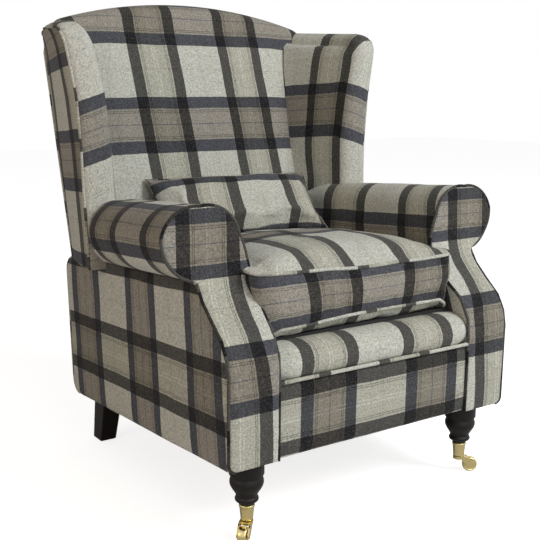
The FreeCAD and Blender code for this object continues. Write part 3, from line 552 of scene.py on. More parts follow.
def arm_cover(side, name):
    full, slim = arm_profile(0.0), arm_profile(36.0)
    top = int(np.argmax(full[:, 1]))
    rows = 72
    run = arc_length(full)
    over = run - run[top]
    z0 = full[:, 1]
    start = front_y(z0) + 2.0
    rear_in = back_y(z0) + 16
    stop = rear_in + (186.0 - rear_in) * np.clip(over / 60.0, 0, 1)
    t = np.linspace(0, 1, rows + 1)[:, None]
    y = start + (stop - start) * t
    taper = smoothstep(y, 60.0, 150.0)
    x = full[:, 0] + (slim[:, 0] - full[:, 0]) * taper
    z = full[:, 1] + (slim[:, 1] - full[:, 1]) * taper
    gather = np.clip((y - 70.0) / 110.0, 0, 1) ** 2 * np.clip(over / 40.0, 0, 1)
    x = x + (350.0 - x) * gather * 0.55
    z = z + (500.0 - z) * gather * 0.30
    fold = np.sin(over / 7.0) * gather * (1 - gather) * 7.0
    x = x + fold * 0.7
    z = z + fold * 0.3
    points = np.stack([side * x, y, z], -1)
    if side > 0:
        u = along(y - 0.3 * over, [-207, -117, 28, 159], WARP_DARK)
    else:
        u = along(y, [-285, -180, -49, 47], WARP_DARK)
    v = np.repeat(along(-over, [-153, -48, 114, 219], WEFT_DARK)[None, :], rows + 1, 0)
    swell = unevenness(points, 90.0, 2.0, 7 + side)
    points[..., 2] += swell * np.clip((z - 500) / 80, 0, 1)
    piece = grid_mesh("arm_cover_" + name, points, np.stack([u, v], -1), (side * 300, 0, 480))
    cover(piece, "arm_pad_" + name, 0.7)


def arm_side(side, name):
    rows, cols = 40, 60
    z = np.linspace(FLOOR_LINE, SCROLL_FOOT, rows + 1)
    low = np.clip(FLOOR_LINE + REAR_LOW_R - z, 0, REAR_LOW_R)
    high = np.clip(z - REAR_TOP + REAR_HIGH_R, 0, REAR_HIGH_R)
    rear = REAR - REAR_LOW_R + np.sqrt(REAR_LOW_R ** 2 - low ** 2)
    rear = rear - REAR_HIGH_R + np.sqrt(REAR_HIGH_R ** 2 - high ** 2)
    start = front_y(z) + 2.0
    t = np.linspace(0, 1, cols + 1)
    y = start[:, None] + (rear - start)[:, None] * t[None, :]
    z = np.repeat(z[:, None], cols + 1, 1)
    inset = np.minimum(y - start[:, None], rear[:, None] - y)
    inset = np.minimum(inset, np.minimum(z - FLOOR_LINE, SCROLL_FOOT + 2.0 - z))
    bulge = 3.0 * (1 - np.exp(-np.clip(inset, 0, None) / 9.0))
    points = np.stack([side * (HALF - 2.5 + bulge), y, z], -1)
    points[..., 0] += side * unevenness(points, 120.0, 2.0, 11 + side)
    u = along(z, [240, 347, 485], WARP_DARK[:3])
    v = along(y, [-320, -220, -74, 33, 198, 322], WEFT_DARK + (550.5, 655.5))
    piece = grid_mesh("side_cover_" + name, points, np.stack([u, v], -1), (0, 0, 300))
    cover(piece, "outside_arm_" + name, 0.3)


for side, name in ((-1, "left"), (1, "right")):
    arm_facing(side, name)
    arm_cover(side, name)
    arm_side(side, name)


# Back: front cover rolled over the arch, rear panels

BACK_ROLL = 34.0
corner_r = 36.0
corner_x = HALF - corner_r
corner_v = BACK_PEAK - ARCH + math.sqrt((ARCH - corner_r) ** 2 - corner_x ** 2)
meet = math.acos(corner_x / (ARCH - corner_r))


def arch_line(steps=26, corner_steps=8):
    """Right half of the arch as x and height, from the middle out and round the corner."""
    reach = ARCH * math.cos(meet)
    across = [reach * i / steps for i in range(steps)]
    flat = [(x, BACK_PEAK - ARCH + math.sqrt(ARCH ** 2 - x ** 2)) for x in across]
    turn = [(corner_x + corner_r * math.cos(meet * (1 - i / corner_steps)),
             corner_v + corner_r * math.sin(meet * (1 - i / corner_steps))) for i in range(corner_steps + 1)]
    return np.array(flat + turn)


half_arch = arch_line()
arch = np.concatenate([half_arch[:0:-1] * (-1, 1), half_arch])


def back_cover():
    r = BACK_ROLL
    columns, marks = [], []
    for x, top in arch:
        rise = np.linspace(-60.0, top - r, 46)
        pull = smoothstep(abs(x), 225.0, 285.0)
        crown = -9.0 * (1 - (x / 300.0) ** 2) * smoothstep(rise, -40.0, 120.0)
        crown = crown * (1 - 0.5 * smoothstep(rise, top - 160, top - r))
        w = np.minimum(crown, 0) + 10.0 * pull * smoothstep(top - rise, 30.0, 110.0)
        turn = np.radians(np.linspace(0, 90, 9)[1:])
        front_w = r - r * np.cos(turn) + w[-1] * (1 - np.sin(turn))
        front_roll = np.stack([front_w, top - r + r * np.sin(turn)], -1)
        rear_roll = np.stack([BACK_THICK - r + r * np.sin(turn), top - r + r * np.cos(turn)], -1)
        path = np.concatenate([np.stack([w, rise], -1), front_roll, rear_roll])
        columns.append(on_back(np.full(len(path), x), path[:, 0], path[:, 1]))
        height = path[0, 1] + arc_length(path)
        lean = 0.05 * (350.0 - np.clip(height, 0, 520))
        u = along(x - lean, [-158, -53, 89, 185], WARP_DARK)
        v = along(height, [240, 347, 503], WEFT_DARK[:3])
        marks.append(np.stack([u, v], -1))
    points = np.array(columns)
    points[..., 1] += unevenness(points, 110.0, 2.5, 21)
    piece = grid_mesh("back_cover", points, np.array(marks), tuple(on_back(0.0, 60.0, 200.0)))
    cover(piece, "inside_back", 0.6)


def back_panel():
    """Flat rear panel with its outline piped."""
    edge = half_arch - (0, BACK_ROLL)
    whole = np.concatenate([edge[:0:-1] * (-1, 1), edge])
    rows = 44
    columns, marks = [], []
    for x, top in whole:
        v = np.linspace(BACK_LOW + 4, top, rows + 1)
        inset = np.minimum(np.minimum(v - BACK_LOW, top - v + 1.0), HALF - abs(x) + 1.0)
        w = BACK_THICK - 1.0 + 4.0 * (1 - np.exp(-np.clip(inset, 0, None) / 25.0))
        columns.append(on_back(np.full(rows + 1, x), w, v))
        marks.append(np.stack([np.full(rows + 1, x + REAR_WARP), v + 20.0], -1))
    points = np.array(columns)
    points[..., 1] += unevenness(points, 130.0, 2.0, 23)
    piece = grid_mesh("rear_back_cover", points, np.array(marks), tuple(on_back(0.0, 0.0, 200.0)))
    cover(piece, "outside_back", 0.3, 0.004)
    side_v = np.linspace(BACK_LOW + 124, whole[0, 1], 20)
    left = on_back(np.full(20, -HALF + 1), BACK_THICK, side_v)
    top = on_back(whole[:, 0] * (HALF - 1) / HALF, BACK_THICK, whole[:, 1])
    right = left[::-1] * (-1, 1, 1)
    piping("rear_back_piping", to_room(np.concatenate([left[:-1], top, right[1:]])))


def lower_rear():
    foot = (REAR - REAR_LOW_R, FLOOR_LINE)
    rise, head = (REAR, FLOOR_LINE + REAR_LOW_R), (REAR, REAR_TOP - REAR_HIGH_R)
    path = [foot] + arc(foot, (REAR - 10.25, 170.25), rise, 8) + line(rise, head, 18)
    path += arc(head, (REAR - 11.1, 478.9), (REAR - REAR_HIGH_R, REAR_TOP), 8)
    path = np.array(path)
    run = arc_length(path)
    x = np.linspace(-HALF + 0.5, HALF - 0.5, 61)
    points = np.stack(np.broadcast_arrays(x[:, None], path[None, :, 0], path[None, :, 1]), -1)
    points[..., 1] += unevenness(points, 130.0, 1.5, 29) + 1.5 * (1 - (x[:, None] / HALF) ** 4)
    marks = np.stack(np.broadcast_arrays(x[:, None] + REAR_WARP, run - 60.0), -1)
    piece = grid_mesh("lower_rear_cover", points, marks, (0, 0, 320))
    cover(piece, "lower_rear_panel", 0.3, 0.004)


back_cover()
back_panel()
lower_rear()


# Wings: rolled inner cover, flat outer panel, piping between them

# Across the chair at four heights: outer face, inner fold and the tuck at the back
PLAN_Z = [460.0, 740.0, 850.0, 1060.0]
OUT_X, IN_X = [380.0, 384.0, 392.0, 428.0], [303.0, 309.0, 321.0, 368.0]
TUCK_X = [246.0, 246.0, 254.0, 279.0]
WING_FOOT, WING_SHOULDER, WING_TOP, CORNER = 480.0, 952.0, 1004.0, 52.0
CORNER_Y, TOP_RUN, TOP_RISE = 176.0, 238.0, 26.0
UPRIGHT, ROUND, LEVEL = 34, 10, 12
BEND, CORNER_END = UPRIGHT - 1, UPRIGHT + ROUND - 1
ROLL_DEPTH, NEXT_NAVY = 30.0, 262.0
# Rolled edge from the fold outwards: depth behind the rim, step in from the side, share of the width
WING_ROLL = [(ROLL_DEPTH, 0.0, 0.0), (17.0, 1.0, 0.02), (7.0, 6.0, 0.04), (1.5, 16.0, 0.06),
             (-1.5, 24.0, 0.16), (-2.0, 28.0, 0.34), (-1.0, 24.0, 0.58), (1.5, 12.0, 0.80),
             (5.5, 3.0, 0.95), (12.0, 0.0, 1.0)]


def wing_front(z):
    return 140.0 - 16.0 * smoothstep(z, 620.0, 950.0)


def wing_rim():
    """Front and top edge in depth and height, with the way it faces."""
    spots = [((float(wing_front(z)), z), (-1.0, 0.0)) for z in np.linspace(WING_FOOT, WING_SHOULDER, UPRIGHT)]
    for i in range(1, ROUND + 1):
        turn = math.radians(90.0 * i / ROUND)
        way = (-math.cos(turn), math.sin(turn))
        spots.append(((CORNER_Y + CORNER * way[0], WING_SHOULDER + CORNER * way[1]), way))
    for i in range(1, LEVEL + 1):
        spots.append(((CORNER_Y + TOP_RUN * i / LEVEL, WING_TOP + TOP_RISE * i / LEVEL), (0.0, 1.0)))
    return np.array([s[0] for s in spots]), np.array([s[1] for s in spots])


def spanned(start, stop, count, bulge):
    """Rows from one edge to another, pushed across the chair in the middle."""
    rows = []
    for t in np.linspace(0, 1, count):
        row = start + (stop - start) * t
        row[:, 0] += bulge * math.sin(math.pi * t)
        rows.append(row)
    return rows


def wing(side, name):
    rim, out = wing_rim()
    z = rim[:, 1]
    up = np.clip(out[:, 1], 0, 1)
    back = smoothstep(rim[:, 0], CORNER_Y, CORNER_Y + TOP_RUN)
    x_out = np.interp(z, PLAN_Z, OUT_X)
    x_out = x_out + (HALF - x_out) * back
    x_in = np.interp(z, PLAN_Z, IN_X)
    x_in = x_in + (292.0 - x_in) * back
    width = x_out - x_in
    rolled = []
    for depth, step, share in WING_ROLL:
        inset = np.minimum(step, width * 0.35)
        x = x_in + inset + (width - 2 * inset) * share if share < 0.5 else x_in + width * share
        rolled.append(np.stack([x, rim[:, 0] - out[:, 0] * depth, rim[:, 1] - out[:, 1] * depth], -1))
    fold = rolled[0]
    ends = [0, BEND, CORNER_END, len(z) - 1]
    seam_z = np.interp(np.arange(len(z)), ends, [WING_FOOT, 935.0, 985.0, 1022.0])
    seam_x = np.interp(seam_z, PLAN_Z, TUCK_X)
    seam = np.stack([seam_x, back_y(seam_z) + 26.0, seam_z], -1)
    seam[CORNER_END:, 1] += np.linspace(0, 22.0, len(z) - CORNER_END)
    inner = spanned(seam, fold, 15, -3.0)[:-1]
    points = np.array(inner + rolled)
    inner_count = len(inner)
    depths = np.interp(points[..., 2], [646, 702, 794, 923, 985], [68, 76, 83, 91, 93])
    fold_x = np.interp(points[..., 2], PLAN_Z, IN_X)
    fold_y = wing_front(points[..., 2]) + ROLL_DEPTH
    away = np.hypot(points[..., 0] - fold_x, points[..., 1] - fold_y)
    u = WARP_DARK[3] - away * (WARP_DARK[3] - WARP_DARK[2]) / depths
    bands = [764, 871, 1016] if side > 0 else [742, 850, 1000]
    v = along(points[..., 2], bands, WEFT_DARK[:3])
    beyond = arc_length(points[inner_count:])
    u[inner_count:] = u[inner_count] + beyond * (1 - up)
    v[inner_count:] += beyond * (0.3 * (1 - up) + up)
    v = NEXT_NAVY - np.abs(NEXT_NAVY - v)
    if side < 0:
        u = u - 225.0
    points[..., 0] *= side
    points[..., 0] += unevenness(points, 90.0, 1.6, 31 + side)
    piece = grid_mesh("wing_cover_" + name, points, np.stack([u, v], -1), (side * 345, 240, 760))
    cover(piece, "wing_pad_" + name, 0.7)
    seam_line = []
    for n in range(8, CORNER_END + 1):
        share = 21.0 / max(seam[n, 1] - fold[n, 1], 1.0)
        seam_line.append(seam[n] + (fold[n] - seam[n]) * share)
    seam_line = np.array(seam_line) * (side, 1, 1)
    piping("wing_seam_" + name, to_room(seam_line), radius=1.7, **DARK_CORD)
    edge = rolled[-1].copy()
    rear_z = np.interp(np.arange(len(z)), ends, [488.0, 950.0, 985.0, 1000.0])
    rear = np.stack([np.full(len(z), HALF), back_y(rear_z) + REAR_RUN - 4.0, rear_z], -1)
    panel = np.array(spanned(edge, rear, 19, 5.0))
    panel_u = WARP_DARK[1] + panel[..., 1] - 207.0 - 0.063 * (panel[..., 2] - 758.0)
    panel_v = along(panel[..., 2], [661, 766, 924], WEFT_DARK[:3])
    panel[..., 0] *= side
    piece = grid_mesh("wing_panel_" + name, panel, np.stack([panel_u, panel_v], -1), (side * 300, 260, 760))
    cover(piece, "wing_outer_" + name, 0.3, 0.004)
    edge[:, 0] *= side
    piping("wing_piping_" + name, to_room(edge))


for side, name in ((-1, "left"), (1, "right")):
    wing(side, name)


# Front border and the rolled lip above it

def border():
    z = np.array([160.0, 161.5, 165.0, 172.0] + list(np.linspace(182.0, 296.0, 14)) + [302.0, 306.0])
    x = np.linspace(-BETWEEN_ARMS, BETWEEN_ARMS, 49)
    set_back = np.interp(z, [160, 161.5, 165, 172, 180, 290, 300, 306], [9, 6, 3, 1, 0, 0, 1.5, 5])
    points = np.empty((len(x), len(z), 3))
    points[..., 0] = x[:, None]
    points[..., 1] = (front_y(z) + 3.0 + set_back)[None, :]
    points[..., 2] = z[None, :]
    points[..., 1] -= 2.5 * (1 - (x[:, None] / 240.0) ** 6) * np.clip(1 - set_back / 5, 0, 1)[None, :]
    points[..., 1] += unevenness(points, 80.0, 1.2, 41)
    u = np.broadcast_to(along(z, [178, 288], WARP_DARK[:2])[None, :], points.shape[:2])
    v = np.broadcast_to(along(x, [-177, -73, 82, 197], WEFT_DARK)[:, None], points.shape[:2])
    piece = grid_mesh("border_cover", points, np.stack([u, v], -1), (0, 0, 230))
    cover(piece, "front_border", 0.4)
    line_x = np.linspace(-238, 238, 60)
    seam = np.stack([line_x, np.full(60, front_y(308.0) + 1.5), np.full(60, 308.0)], -1)
    piping("border_piping", to_room(seam), radius=4.0, across=(0.02, 1.0))


def lip():
    path = [(-348.0, 309.0)] + arc((-348.0, 309.0), (-360.0, 340.0), (-329.0, 371.5), 18)
    path += arc((-329.0, 371.5), (-318.0, 374.0), (-306.0, 373.0), 3)
    path += line((-306.0, 373.0), (-252.0, 371.0), 5)
    path = np.array(path)
    run = arc_length(path)
    x = np.linspace(-BETWEEN_ARMS, BETWEEN_ARMS, 57)
    ends = smoothstep(np.abs(x), 205.0, 240.0)
    points = np.empty((len(x), len(path), 3))
    points[..., 0] = x[:, None]
    points[..., 1] = path[None, :, 0] + 9.0 * ends[:, None]
    points[..., 2] = path[None, :, 1] - 3.0 * ends[:, None] * smoothstep(path[None, :, 1], 340, 375)
    points[..., 1] += unevenness(points, 60.0, 2.4, 43)
    u = np.broadcast_to(along(x, [-177, -72, 70, 175], WARP_DARK)[:, None], points.shape[:2])
    v = np.broadcast_to((150.0 + run)[None, :], points.shape[:2])
    piece = grid_mesh("lip_cover", points, np.stack([u, v], -1), (0, -300, 330))
    cover(piece, "front_lip", 0.8)


border()
lip()


# Loose cushions: closed covers, stuffed by pressure between their seams

def stuffed(piece, seam_rows, cap):
    """Inflates a cover gently, holds its seams, and keeps each point within the cap."""
    rest = np.array([v.co[:] for v in piece.data.vertices])
    held = piece.vertex_groups.new(name="seams")
    held.add([int(n) for n in seam_rows], 1.0, "REPLACE")
    cloth = piece.modifiers.new("Stuffing", "CLOTH")
    cloth.settings.use_pressure = True
    cloth.settings.uniform_pressure_force = 4.0
    cloth.settings.effector_weights.gravity = 0.0
    cloth.settings.vertex_group_mass = "seams"
    cloth.settings.shrink_min = -0.035
    cloth.settings.quality = 5
    cloth.point_cache.frame_start, cloth.point_cache.frame_end = 1, 20
    for n in range(1, 21):
        scene.frame_set(n)
    now = piece.evaluated_get(bpy.context.evaluated_depsgraph_get())
    moved = np.array([v.co[:] for v in now.data.vertices]) - rest
    piece.modifiers.remove(cloth)
    piece.vertex_groups.clear()
    scene.frame_set(1)
    size = np.linalg.norm(moved, axis=1, keepdims=True)
    moved *= cap * np.tanh(size / cap) / np.maximum(size, 1e-9)
    piece.data.vertices.foreach_set("co", (rest + moved).ravel())
    piece.data.update()


def shell_mesh(name, patches):
    """One closed cover from several grids of points and marks, joined where they meet."""
    mesh = woven(name, patches)
    work = bmesh.new()
    work.from_mesh(mesh)
    stitched(work)
    bmesh.ops.recalc_face_normals(work, faces=work.faces)
    work.to_mesh(mesh)
    work.free()
    mesh.shade_smooth()
    return linked(name, mesh)


def nearest(piece, room_points):
    """Indices of the piece's vertices at the given places."""
    co = np.array([v.co[:] for v in piece.data.vertices])
    return [int(np.argmin(np.sum((co - p) ** 2, axis=1))) for p in room_points]


CUSHION_FRONT, CUSHION_BACK, CUSHION_COLS = -310.0, 214.0, 43


def seat():
    ys = np.concatenate([np.linspace(CUSHION_FRONT, -262, 8), np.linspace(-250, 190, 34),
                         np.linspace(198, CUSHION_BACK, 4)])
    front_r, rear_r = 32.0, 20.0
    near = np.clip(CUSHION_FRONT + front_r - ys, 0, front_r)
    far = np.clip(ys - (CUSHION_BACK - rear_r), 0, rear_r)
    corner = (front_r - np.sqrt(front_r ** 2 - near ** 2)) + (rear_r - np.sqrt(rear_r ** 2 - far ** 2))
    ears = 1 - smoothstep(ys, -268.0, -250.0)
    half = 226.0 + 26.0 * ears - corner
    half_low = 226.0 + 8.0 * ears - corner
    a = np.linspace(-1, 1, CUSHION_COLS)
    a = np.sin(a * math.pi / 2) * 0.35 + a * 0.65
    x = half[:, None] * a[None, :]
    x_low = half_low[:, None] * a[None, :]
    y = np.repeat(ys[:, None], CUSHION_COLS, 1)
    edge = np.interp(ys, [-310, -280, -205, 0, 172, 214], [494, 499, 507, 509, 508, 502])
    middle = np.interp(ys, [-310, -300, -285, -250, -190, -60, 60, 150, 200, 214],
                       [494, 508, 519, 530, 538, 540, 533, 522, 508, 502])
    arch_x = np.clip(1 - np.abs(a) ** 3.0, 0, 1) ** 0.8
    settle = smoothstep(-x, 0.0, 210.0) * (1 - smoothstep(y, -300.0, -60.0))
    top = np.stack([x, y, edge[:, None] + (middle - edge)[:, None] * arch_x[None, :] + 7.0 * settle], -1)
    crease = np.sin((x * 0.55 + y * 0.8) / 17.0) * smoothstep(-x, -40, 180) * smoothstep(-y, 60, 230)
    crease = crease * (1 - np.abs(a) ** 6)
    top[..., 2] += crease * 1.3 + unevenness(top, 90.0, 5.0, 51) * arch_x
    base = np.interp(ys, [-310, -303, -296, -286, -270, 214], [402, 391, 384, 379, 378, 382])
    sag = 8.0 * settle * smoothstep(-y, 285, 305)
    bottom = np.stack([x_low, y, np.repeat(base[:, None], CUSHION_COLS, 1) - sag], -1)

    def rim(grid):
        return np.concatenate([grid[0, :-1], grid[:-1, -1], grid[-1, :0:-1], grid[:0:-1, 0]])

    high, low = rim(top), rim(bottom)
    high, low = np.vstack([high, high[:1]]), np.vstack([low, low[:1]])
    out = high[:, :2] - np.clip(high[:, :2], [-170, -250], [170, 160])
    out = out / np.maximum(np.linalg.norm(out, axis=1, keepdims=True), 1e-6)
    wall = []
    for t in np.linspace(0, 1, 9):
        ring = high + (low - high) * t
        ring[:, :2] += out * (5.0 * math.sin(math.pi * t)) * np.where(high[:, 1:2] < -255, 1.0, 0.3)
        wall.append(ring)
    wall = np.array(wall)
    wall_run = arc_length(high)
    turn, at = CUSHION_COLS - 1, np.arange(len(high))
    run_x = np.where(at <= turn, high[:, 0], high[turn, 0] + wall_run - wall_run[turn])
    run_x = np.where(at > len(high) // 2, high[0, 0] - (wall_run[-1] - wall_run), run_x)
    boxing = [-135, -25, 115, 218]
    wall_u = along(run_x, boxing, WARP_DARK)
    wall_v = np.broadcast_to(np.linspace(CREAM_START, 0.0, 9)[:, None], wall.shape[:2])
    marks_wall = np.stack([np.broadcast_to(wall_u[None, :], wall.shape[:2]), wall_v], -1)
    top_u = along(x - 0.02 * (y + 300), [-133, -33, 103, 208], WARP_DARK)
    top_v = along(y, [-310, -120], [136, WEFT_REPEAT])
    marks_top = np.stack([top_u, top_v], -1)
    under = np.stack([along(x_low, boxing, WARP_DARK), WEFT_REPEAT - 0.6 * (y - CUSHION_FRONT)], -1)
    piece = shell_mesh("seat_cushion_cover", [(top, marks_top), (wall, marks_wall), (bottom, under)])
    held = set(nearest(piece, to_room(high))) | set(nearest(piece, to_room(low)))
    top_seam, low_seam = nearest(piece, to_room(high[:-1])), nearest(piece, to_room(low[:-1]))
    floor_z = to_room(np.array([0.0, 0.0, 386.0]))[2]
    lean = math.tan(RAKE)
    resting = [v.index for v in piece.data.vertices if v.co.z < floor_z - v.co.y * lean and v.co.y > -0.33]
    stuffed(piece, held | set(resting), 0.007)
    co = [piece.data.vertices[n].co.copy() for n in top_seam]
    co_low = [piece.data.vertices[n].co.copy() for n in low_seam]
    smoothed(piece)
    finish(piece, "seat_cushion", "check_cloth", check, "seat_cushion", fill=0.85)
    piping("cushion_top_piping", co, True, "seat_cushion", 3.6, (0.05, 1.0), (0.17, 0.0))
    piping("cushion_low_piping", co_low, True, "seat_cushion", 3.6, (0.05, 1.0), (0.17, 0.0))


def pillow():
    wide, tall, thick = 208.0, 92.0, 55.0
    n, m = 41, 27
    a, b = np.linspace(-1, 1, n), np.linspace(-1, 1, m)
    a, b = np.sin(a * math.pi / 2) * 0.5 + a * 0.5, np.sin(b * math.pi / 2) * 0.5 + b * 0.5
    px = wide * a[:, None] * (1 - 0.045 * (1 - b[None, :] ** 2) * np.abs(a[:, None]) ** 3)
    ph = tall * b[None, :] * (1 - 0.07 * (1 - a[:, None] ** 2) * np.abs(b[None, :]) ** 3)
    full = thick * (np.clip(1 - a[:, None] ** 4, 0, 1) * np.clip(1 - b[None, :] ** 4, 0, 1)) ** 0.62
    tilt, turn = math.radians(47.0), math.radians(8.0)
    width_way = np.array([math.cos(turn), -math.sin(turn), 0.0])
    height_way = np.array([math.sin(turn) * math.cos(tilt), math.cos(turn) * math.cos(tilt), math.sin(tilt)])
    outward = np.cross(width_way, height_way)

    def placed(depth):
        spot = px[..., None] * width_way + ph[..., None] * height_way + depth[..., None] * outward
        return spot + (12.0, 168.0, 595.0)

    front, rear = placed(full), placed(-full)
    front += (unevenness(front, 55.0, 6.0, 61) * (full / thick))[..., None] * outward
    u = along(px - 0.10 * ph, [-128, -23, 124, 208], WARP_DARK)
    v = along(ph, [-84, 38], [CREAM_START, WEFT_REPEAT])
    marks = np.stack([u, v], -1)
    piece = shell_mesh("pillow_cover", [(front, marks), (rear, marks + (40, 0))])
    rim_points = np.concatenate([front[:-1, 0], front[-1, :-1], front[:0:-1, -1], front[0, :0:-1]])
    stuffed(piece, nearest(piece, to_room(rim_points)), 0.010)
    smoothed(piece)
    finish(piece, "back_pillow", "check_cloth", check, "back_pillow", fill=0.7)
    piping("pillow_seam", to_room(rim_points), True, "back_pillow", 1.3, (0.05, 1.0), (0.06, 0.0))


seat()
pillow()


# Turned legs, tapered rear legs and castors

def turned(name, outline, axis_x, axis_y, steps=56, direction=None, base_z=0.0):
    """Lathe shape about a vertical line, or about a level axle through a point."""
    work = bmesh.new()
    rings = []
    for r, h in outline:
        ring = []
        for i in range(steps):
            turn = math.tau * i / steps
            side, rise = r * math.cos(turn), r * math.sin(turn)
            if direction is None:
                spot = (axis_x + side, axis_y + rise, h)
            else:
                dx, dy = direction
                spot = (axis_x + dx * h - dy * side, axis_y + dy * h + dx * side, base_z + rise)
            ring.append(work.verts.new(Vector(spot) / 1000))
        rings.append(ring)
    for low, high in zip(rings, rings[1:]):
        for i in range(steps):
            work.faces.new((low[i], low[(i + 1) % steps], high[(i + 1) % steps], high[i]))
    if outline[0] != outline[-1]:
        work.faces.new(rings[0])
        work.faces.new(rings[-1])
    else:
        bmesh.ops.remove_doubles(work, verts=work.verts, dist=0.000001)
    bmesh.ops.recalc_face_normals(work, faces=work.faces)
    mesh = bpy.data.meshes.new(name)
    work.to_mesh(mesh)
    work.free()
    for f in mesh.polygons:
        f.use_smooth = len(f.vertices) < 5
    return linked(name, mesh)


# Outlines: radius and height, or radius and place along the axle
LEG_OUTLINE = [(10.0, 68.2), (13.6, 68.2), (14.6, 69.0), (15.2, 71.5), (17.5, 73.6), (21.0, 75.0),
               (22.4, 77.0), (22.8, 79.2), (22.4, 81.4), (21.4, 83.0), (20.6, 84.2), (20.3, 86.0),
               (20.8, 88.5), (22.4, 91.5), (25.2, 96.0), (28.4, 101.0), (31.0, 106.0), (32.4, 110.5),
               (32.6, 114.5), (31.8, 118.5), (30.6, 121.8), (29.8, 124.2), (29.7, 126.2), (30.6, 127.2),
               (32.9, 127.8), (33.5, 129.0), (33.5, 150.0), (33.2, 160.0), (33.0, 166.0)]
CUP_OUTLINE = [(9.0, 36.4), (11.4, 36.4), (12.0, 37.4), (12.2, 41.0), (13.0, 50.0), (13.7, 58.0),
               (14.0, 62.0), (14.9, 63.0), (15.2, 64.6), (15.2, 66.4), (14.8, 67.6), (14.0, 68.0),
               (12.5, 68.0)]
WHEEL_OUTLINE = [(3.2, -8.3), (5.6, -8.5), (6.2, -8.3), (7.0, -7.4), (11.2, -7.2), (12.4, -8.1),
                 (13.8, -8.3), (15.1, -7.3), (15.8, -5.2), (16.0, -2.5), (16.0, 2.5), (15.8, 5.2),
                 (15.1, 7.3), (13.8, 8.3), (12.4, 8.1), (11.2, 7.2), (7.0, 7.4), (6.2, 8.3), (5.6, 8.5),
                 (3.2, 8.3), (3.2, -8.3)]
# Wheel centres and axle directions, from the castors' resting turn
WHEELS = {"left": (-297.579, -379.823, (0.66913, -0.74314)), "right": (300.651, -375.595, (0.5, 0.86603))}

for side, name in ((-1, "left"), (1, "right")):
    leg = turned("turned_leg_" + name, LEG_OUTLINE, side * LEG_X, LEG_Y)
    finish(leg, "chair", "leg_wood", leg_black, "front_leg_" + name)
    cup = turned("brass_cup_" + name, CUP_OUTLINE, side * LEG_X, LEG_Y)
    finish(cup, "chair", "brass", brass, "castor_cup_" + name)
    wheel_x, wheel_y, axle = WHEELS[name]
    wheel = turned("brass_wheel_" + name, WHEEL_OUTLINE, wheel_x, wheel_y, 40, axle, AXLE_Z)
    finish(wheel, "wheel_" + name, "brass", brass, "castor_wheel_" + name)


def softened(node, name, material, body, slot, width):
    """Copy of a hard part with its edges eased."""
    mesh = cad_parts[node].data.copy()
    work = bmesh.new()
    work.from_mesh(mesh)
    bmesh.ops.remove_doubles(work, verts=work.verts, dist=0.00002)
    bmesh.ops.dissolve_limit(work, angle_limit=math.radians(3), verts=work.verts, edges=work.edges)
    work.to_mesh(mesh)
    work.free()
    piece = linked(name, mesh)
    ease = piece.modifiers.new("Eased", "BEVEL")
    ease.width = width
    ease.segments = 3
    ease.limit_method = "ANGLE"
    ease.angle_limit = math.radians(35)
    return finish(piece, body, slot, material, node)


for name in ("left", "right"):
    softened("rear_leg_" + name, "tapered_leg_" + name, leg_black, "chair", "leg_wood", 0.0025)
    softened("castor_horn_" + name, "castor_fork_" + name, brass, "castor_" + name, "brass", 0.0008)


# Finishes for the carried-over parts

def dress(node, material):
    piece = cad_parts[node]
    piece.data.materials.clear()
    piece.data.materials.append(material)


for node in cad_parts:
    if "bolt" in node or "axle" in node:
        dress(node, steel)
    elif "castor" in node:
        dress(node, brass)
    elif "webbing" in node:
        dress(node, jute)
    elif node in ("dust_cover", "seat_deck"):
        dress(node, lining_black)
    elif any(word in node for word in ("rail", "block", "post", "stump", "wing_frame")):
        dress(node, beech)
    elif "leg" in node:
        dress(node, leg_black)
    else:
        dress(node, check)


# Pale studio

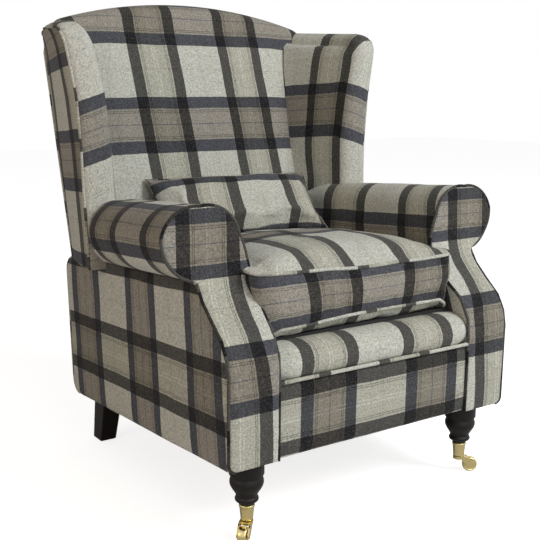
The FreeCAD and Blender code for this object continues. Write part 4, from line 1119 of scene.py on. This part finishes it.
def plane(name, size, z):
    mesh = bpy.data.meshes.new(name)
    corners = [(-size, -size, z), (size, -size, z), (size, size, z), (-size, size, z)]
    mesh.from_pydata(corners, [], [(0, 1, 2, 3)])
    return linked(name, mesh)


floor = plane("studio_floor", 12.0, -0.0005)
material, tree, shader, add, maths, _ = node_kit("studio_floor")
path = add("ShaderNodeLightPath")
shader.inputs["Base Color"].default_value = (0.86, 0.86, 0.86, 1.0)
shader.inputs["Roughness"].default_value = 1.0
shader.inputs["Specular IOR Level"].default_value = 0.0
shader.inputs["Emission Color"].default_value = (1.0, 1.0, 1.0, 1.0)
tree.links.new(maths("MULTIPLY", path.outputs["Is Camera Ray"], 0.78), shader.inputs["Emission Strength"])
floor.data.materials.append(material)

world = bpy.data.worlds.new("studio")
scene.world = world
world.use_nodes = True
air = world.node_tree
path = air.nodes.new("ShaderNodeLightPath")
total = path.outputs["Is Camera Ray"]
for seen in ("Is Glossy Ray", "Is Transmission Ray"):
    step = air.nodes.new("ShaderNodeMath")
    step.operation = "MAXIMUM"
    air.links.new(total, step.inputs[0])
    air.links.new(path.outputs[seen], step.inputs[1])
    total = step.outputs[0]
level = air.nodes.new("ShaderNodeMapRange")
air.links.new(total, level.inputs["Value"])
level.inputs["To Min"].default_value = 0.22
level.inputs["To Max"].default_value = 1.0
air.links.new(level.outputs[0], air.nodes["Background"].inputs["Strength"])
air.nodes["Background"].inputs["Color"].default_value = (1.0, 1.0, 1.0, 1.0)


def lamp(name, place, aim, power, size, colour):
    data = bpy.data.lights.new(name, "AREA")
    data.energy = power
    data.size = size
    data.color = colour
    piece = linked(name, data)
    piece.location = place
    piece.rotation_euler = (Vector(aim) - Vector(place)).to_track_quat("-Z", "Y").to_euler()


lamp("key_lamp", (1.7, -3.0, 3.2), (0, 0, 0.5), 118.0, 1.8, (1.0, 1.0, 0.99))
lamp("front_lamp", (-0.6, -3.6, 1.6), (0, 0, 0.6), 17.0, 1.6, (1.0, 1.0, 0.99))
lamp("side_lamp", (-3.0, -0.6, 1.4), (0, 0, 0.5), 14.0, 1.4, (1.0, 0.72, 0.46))
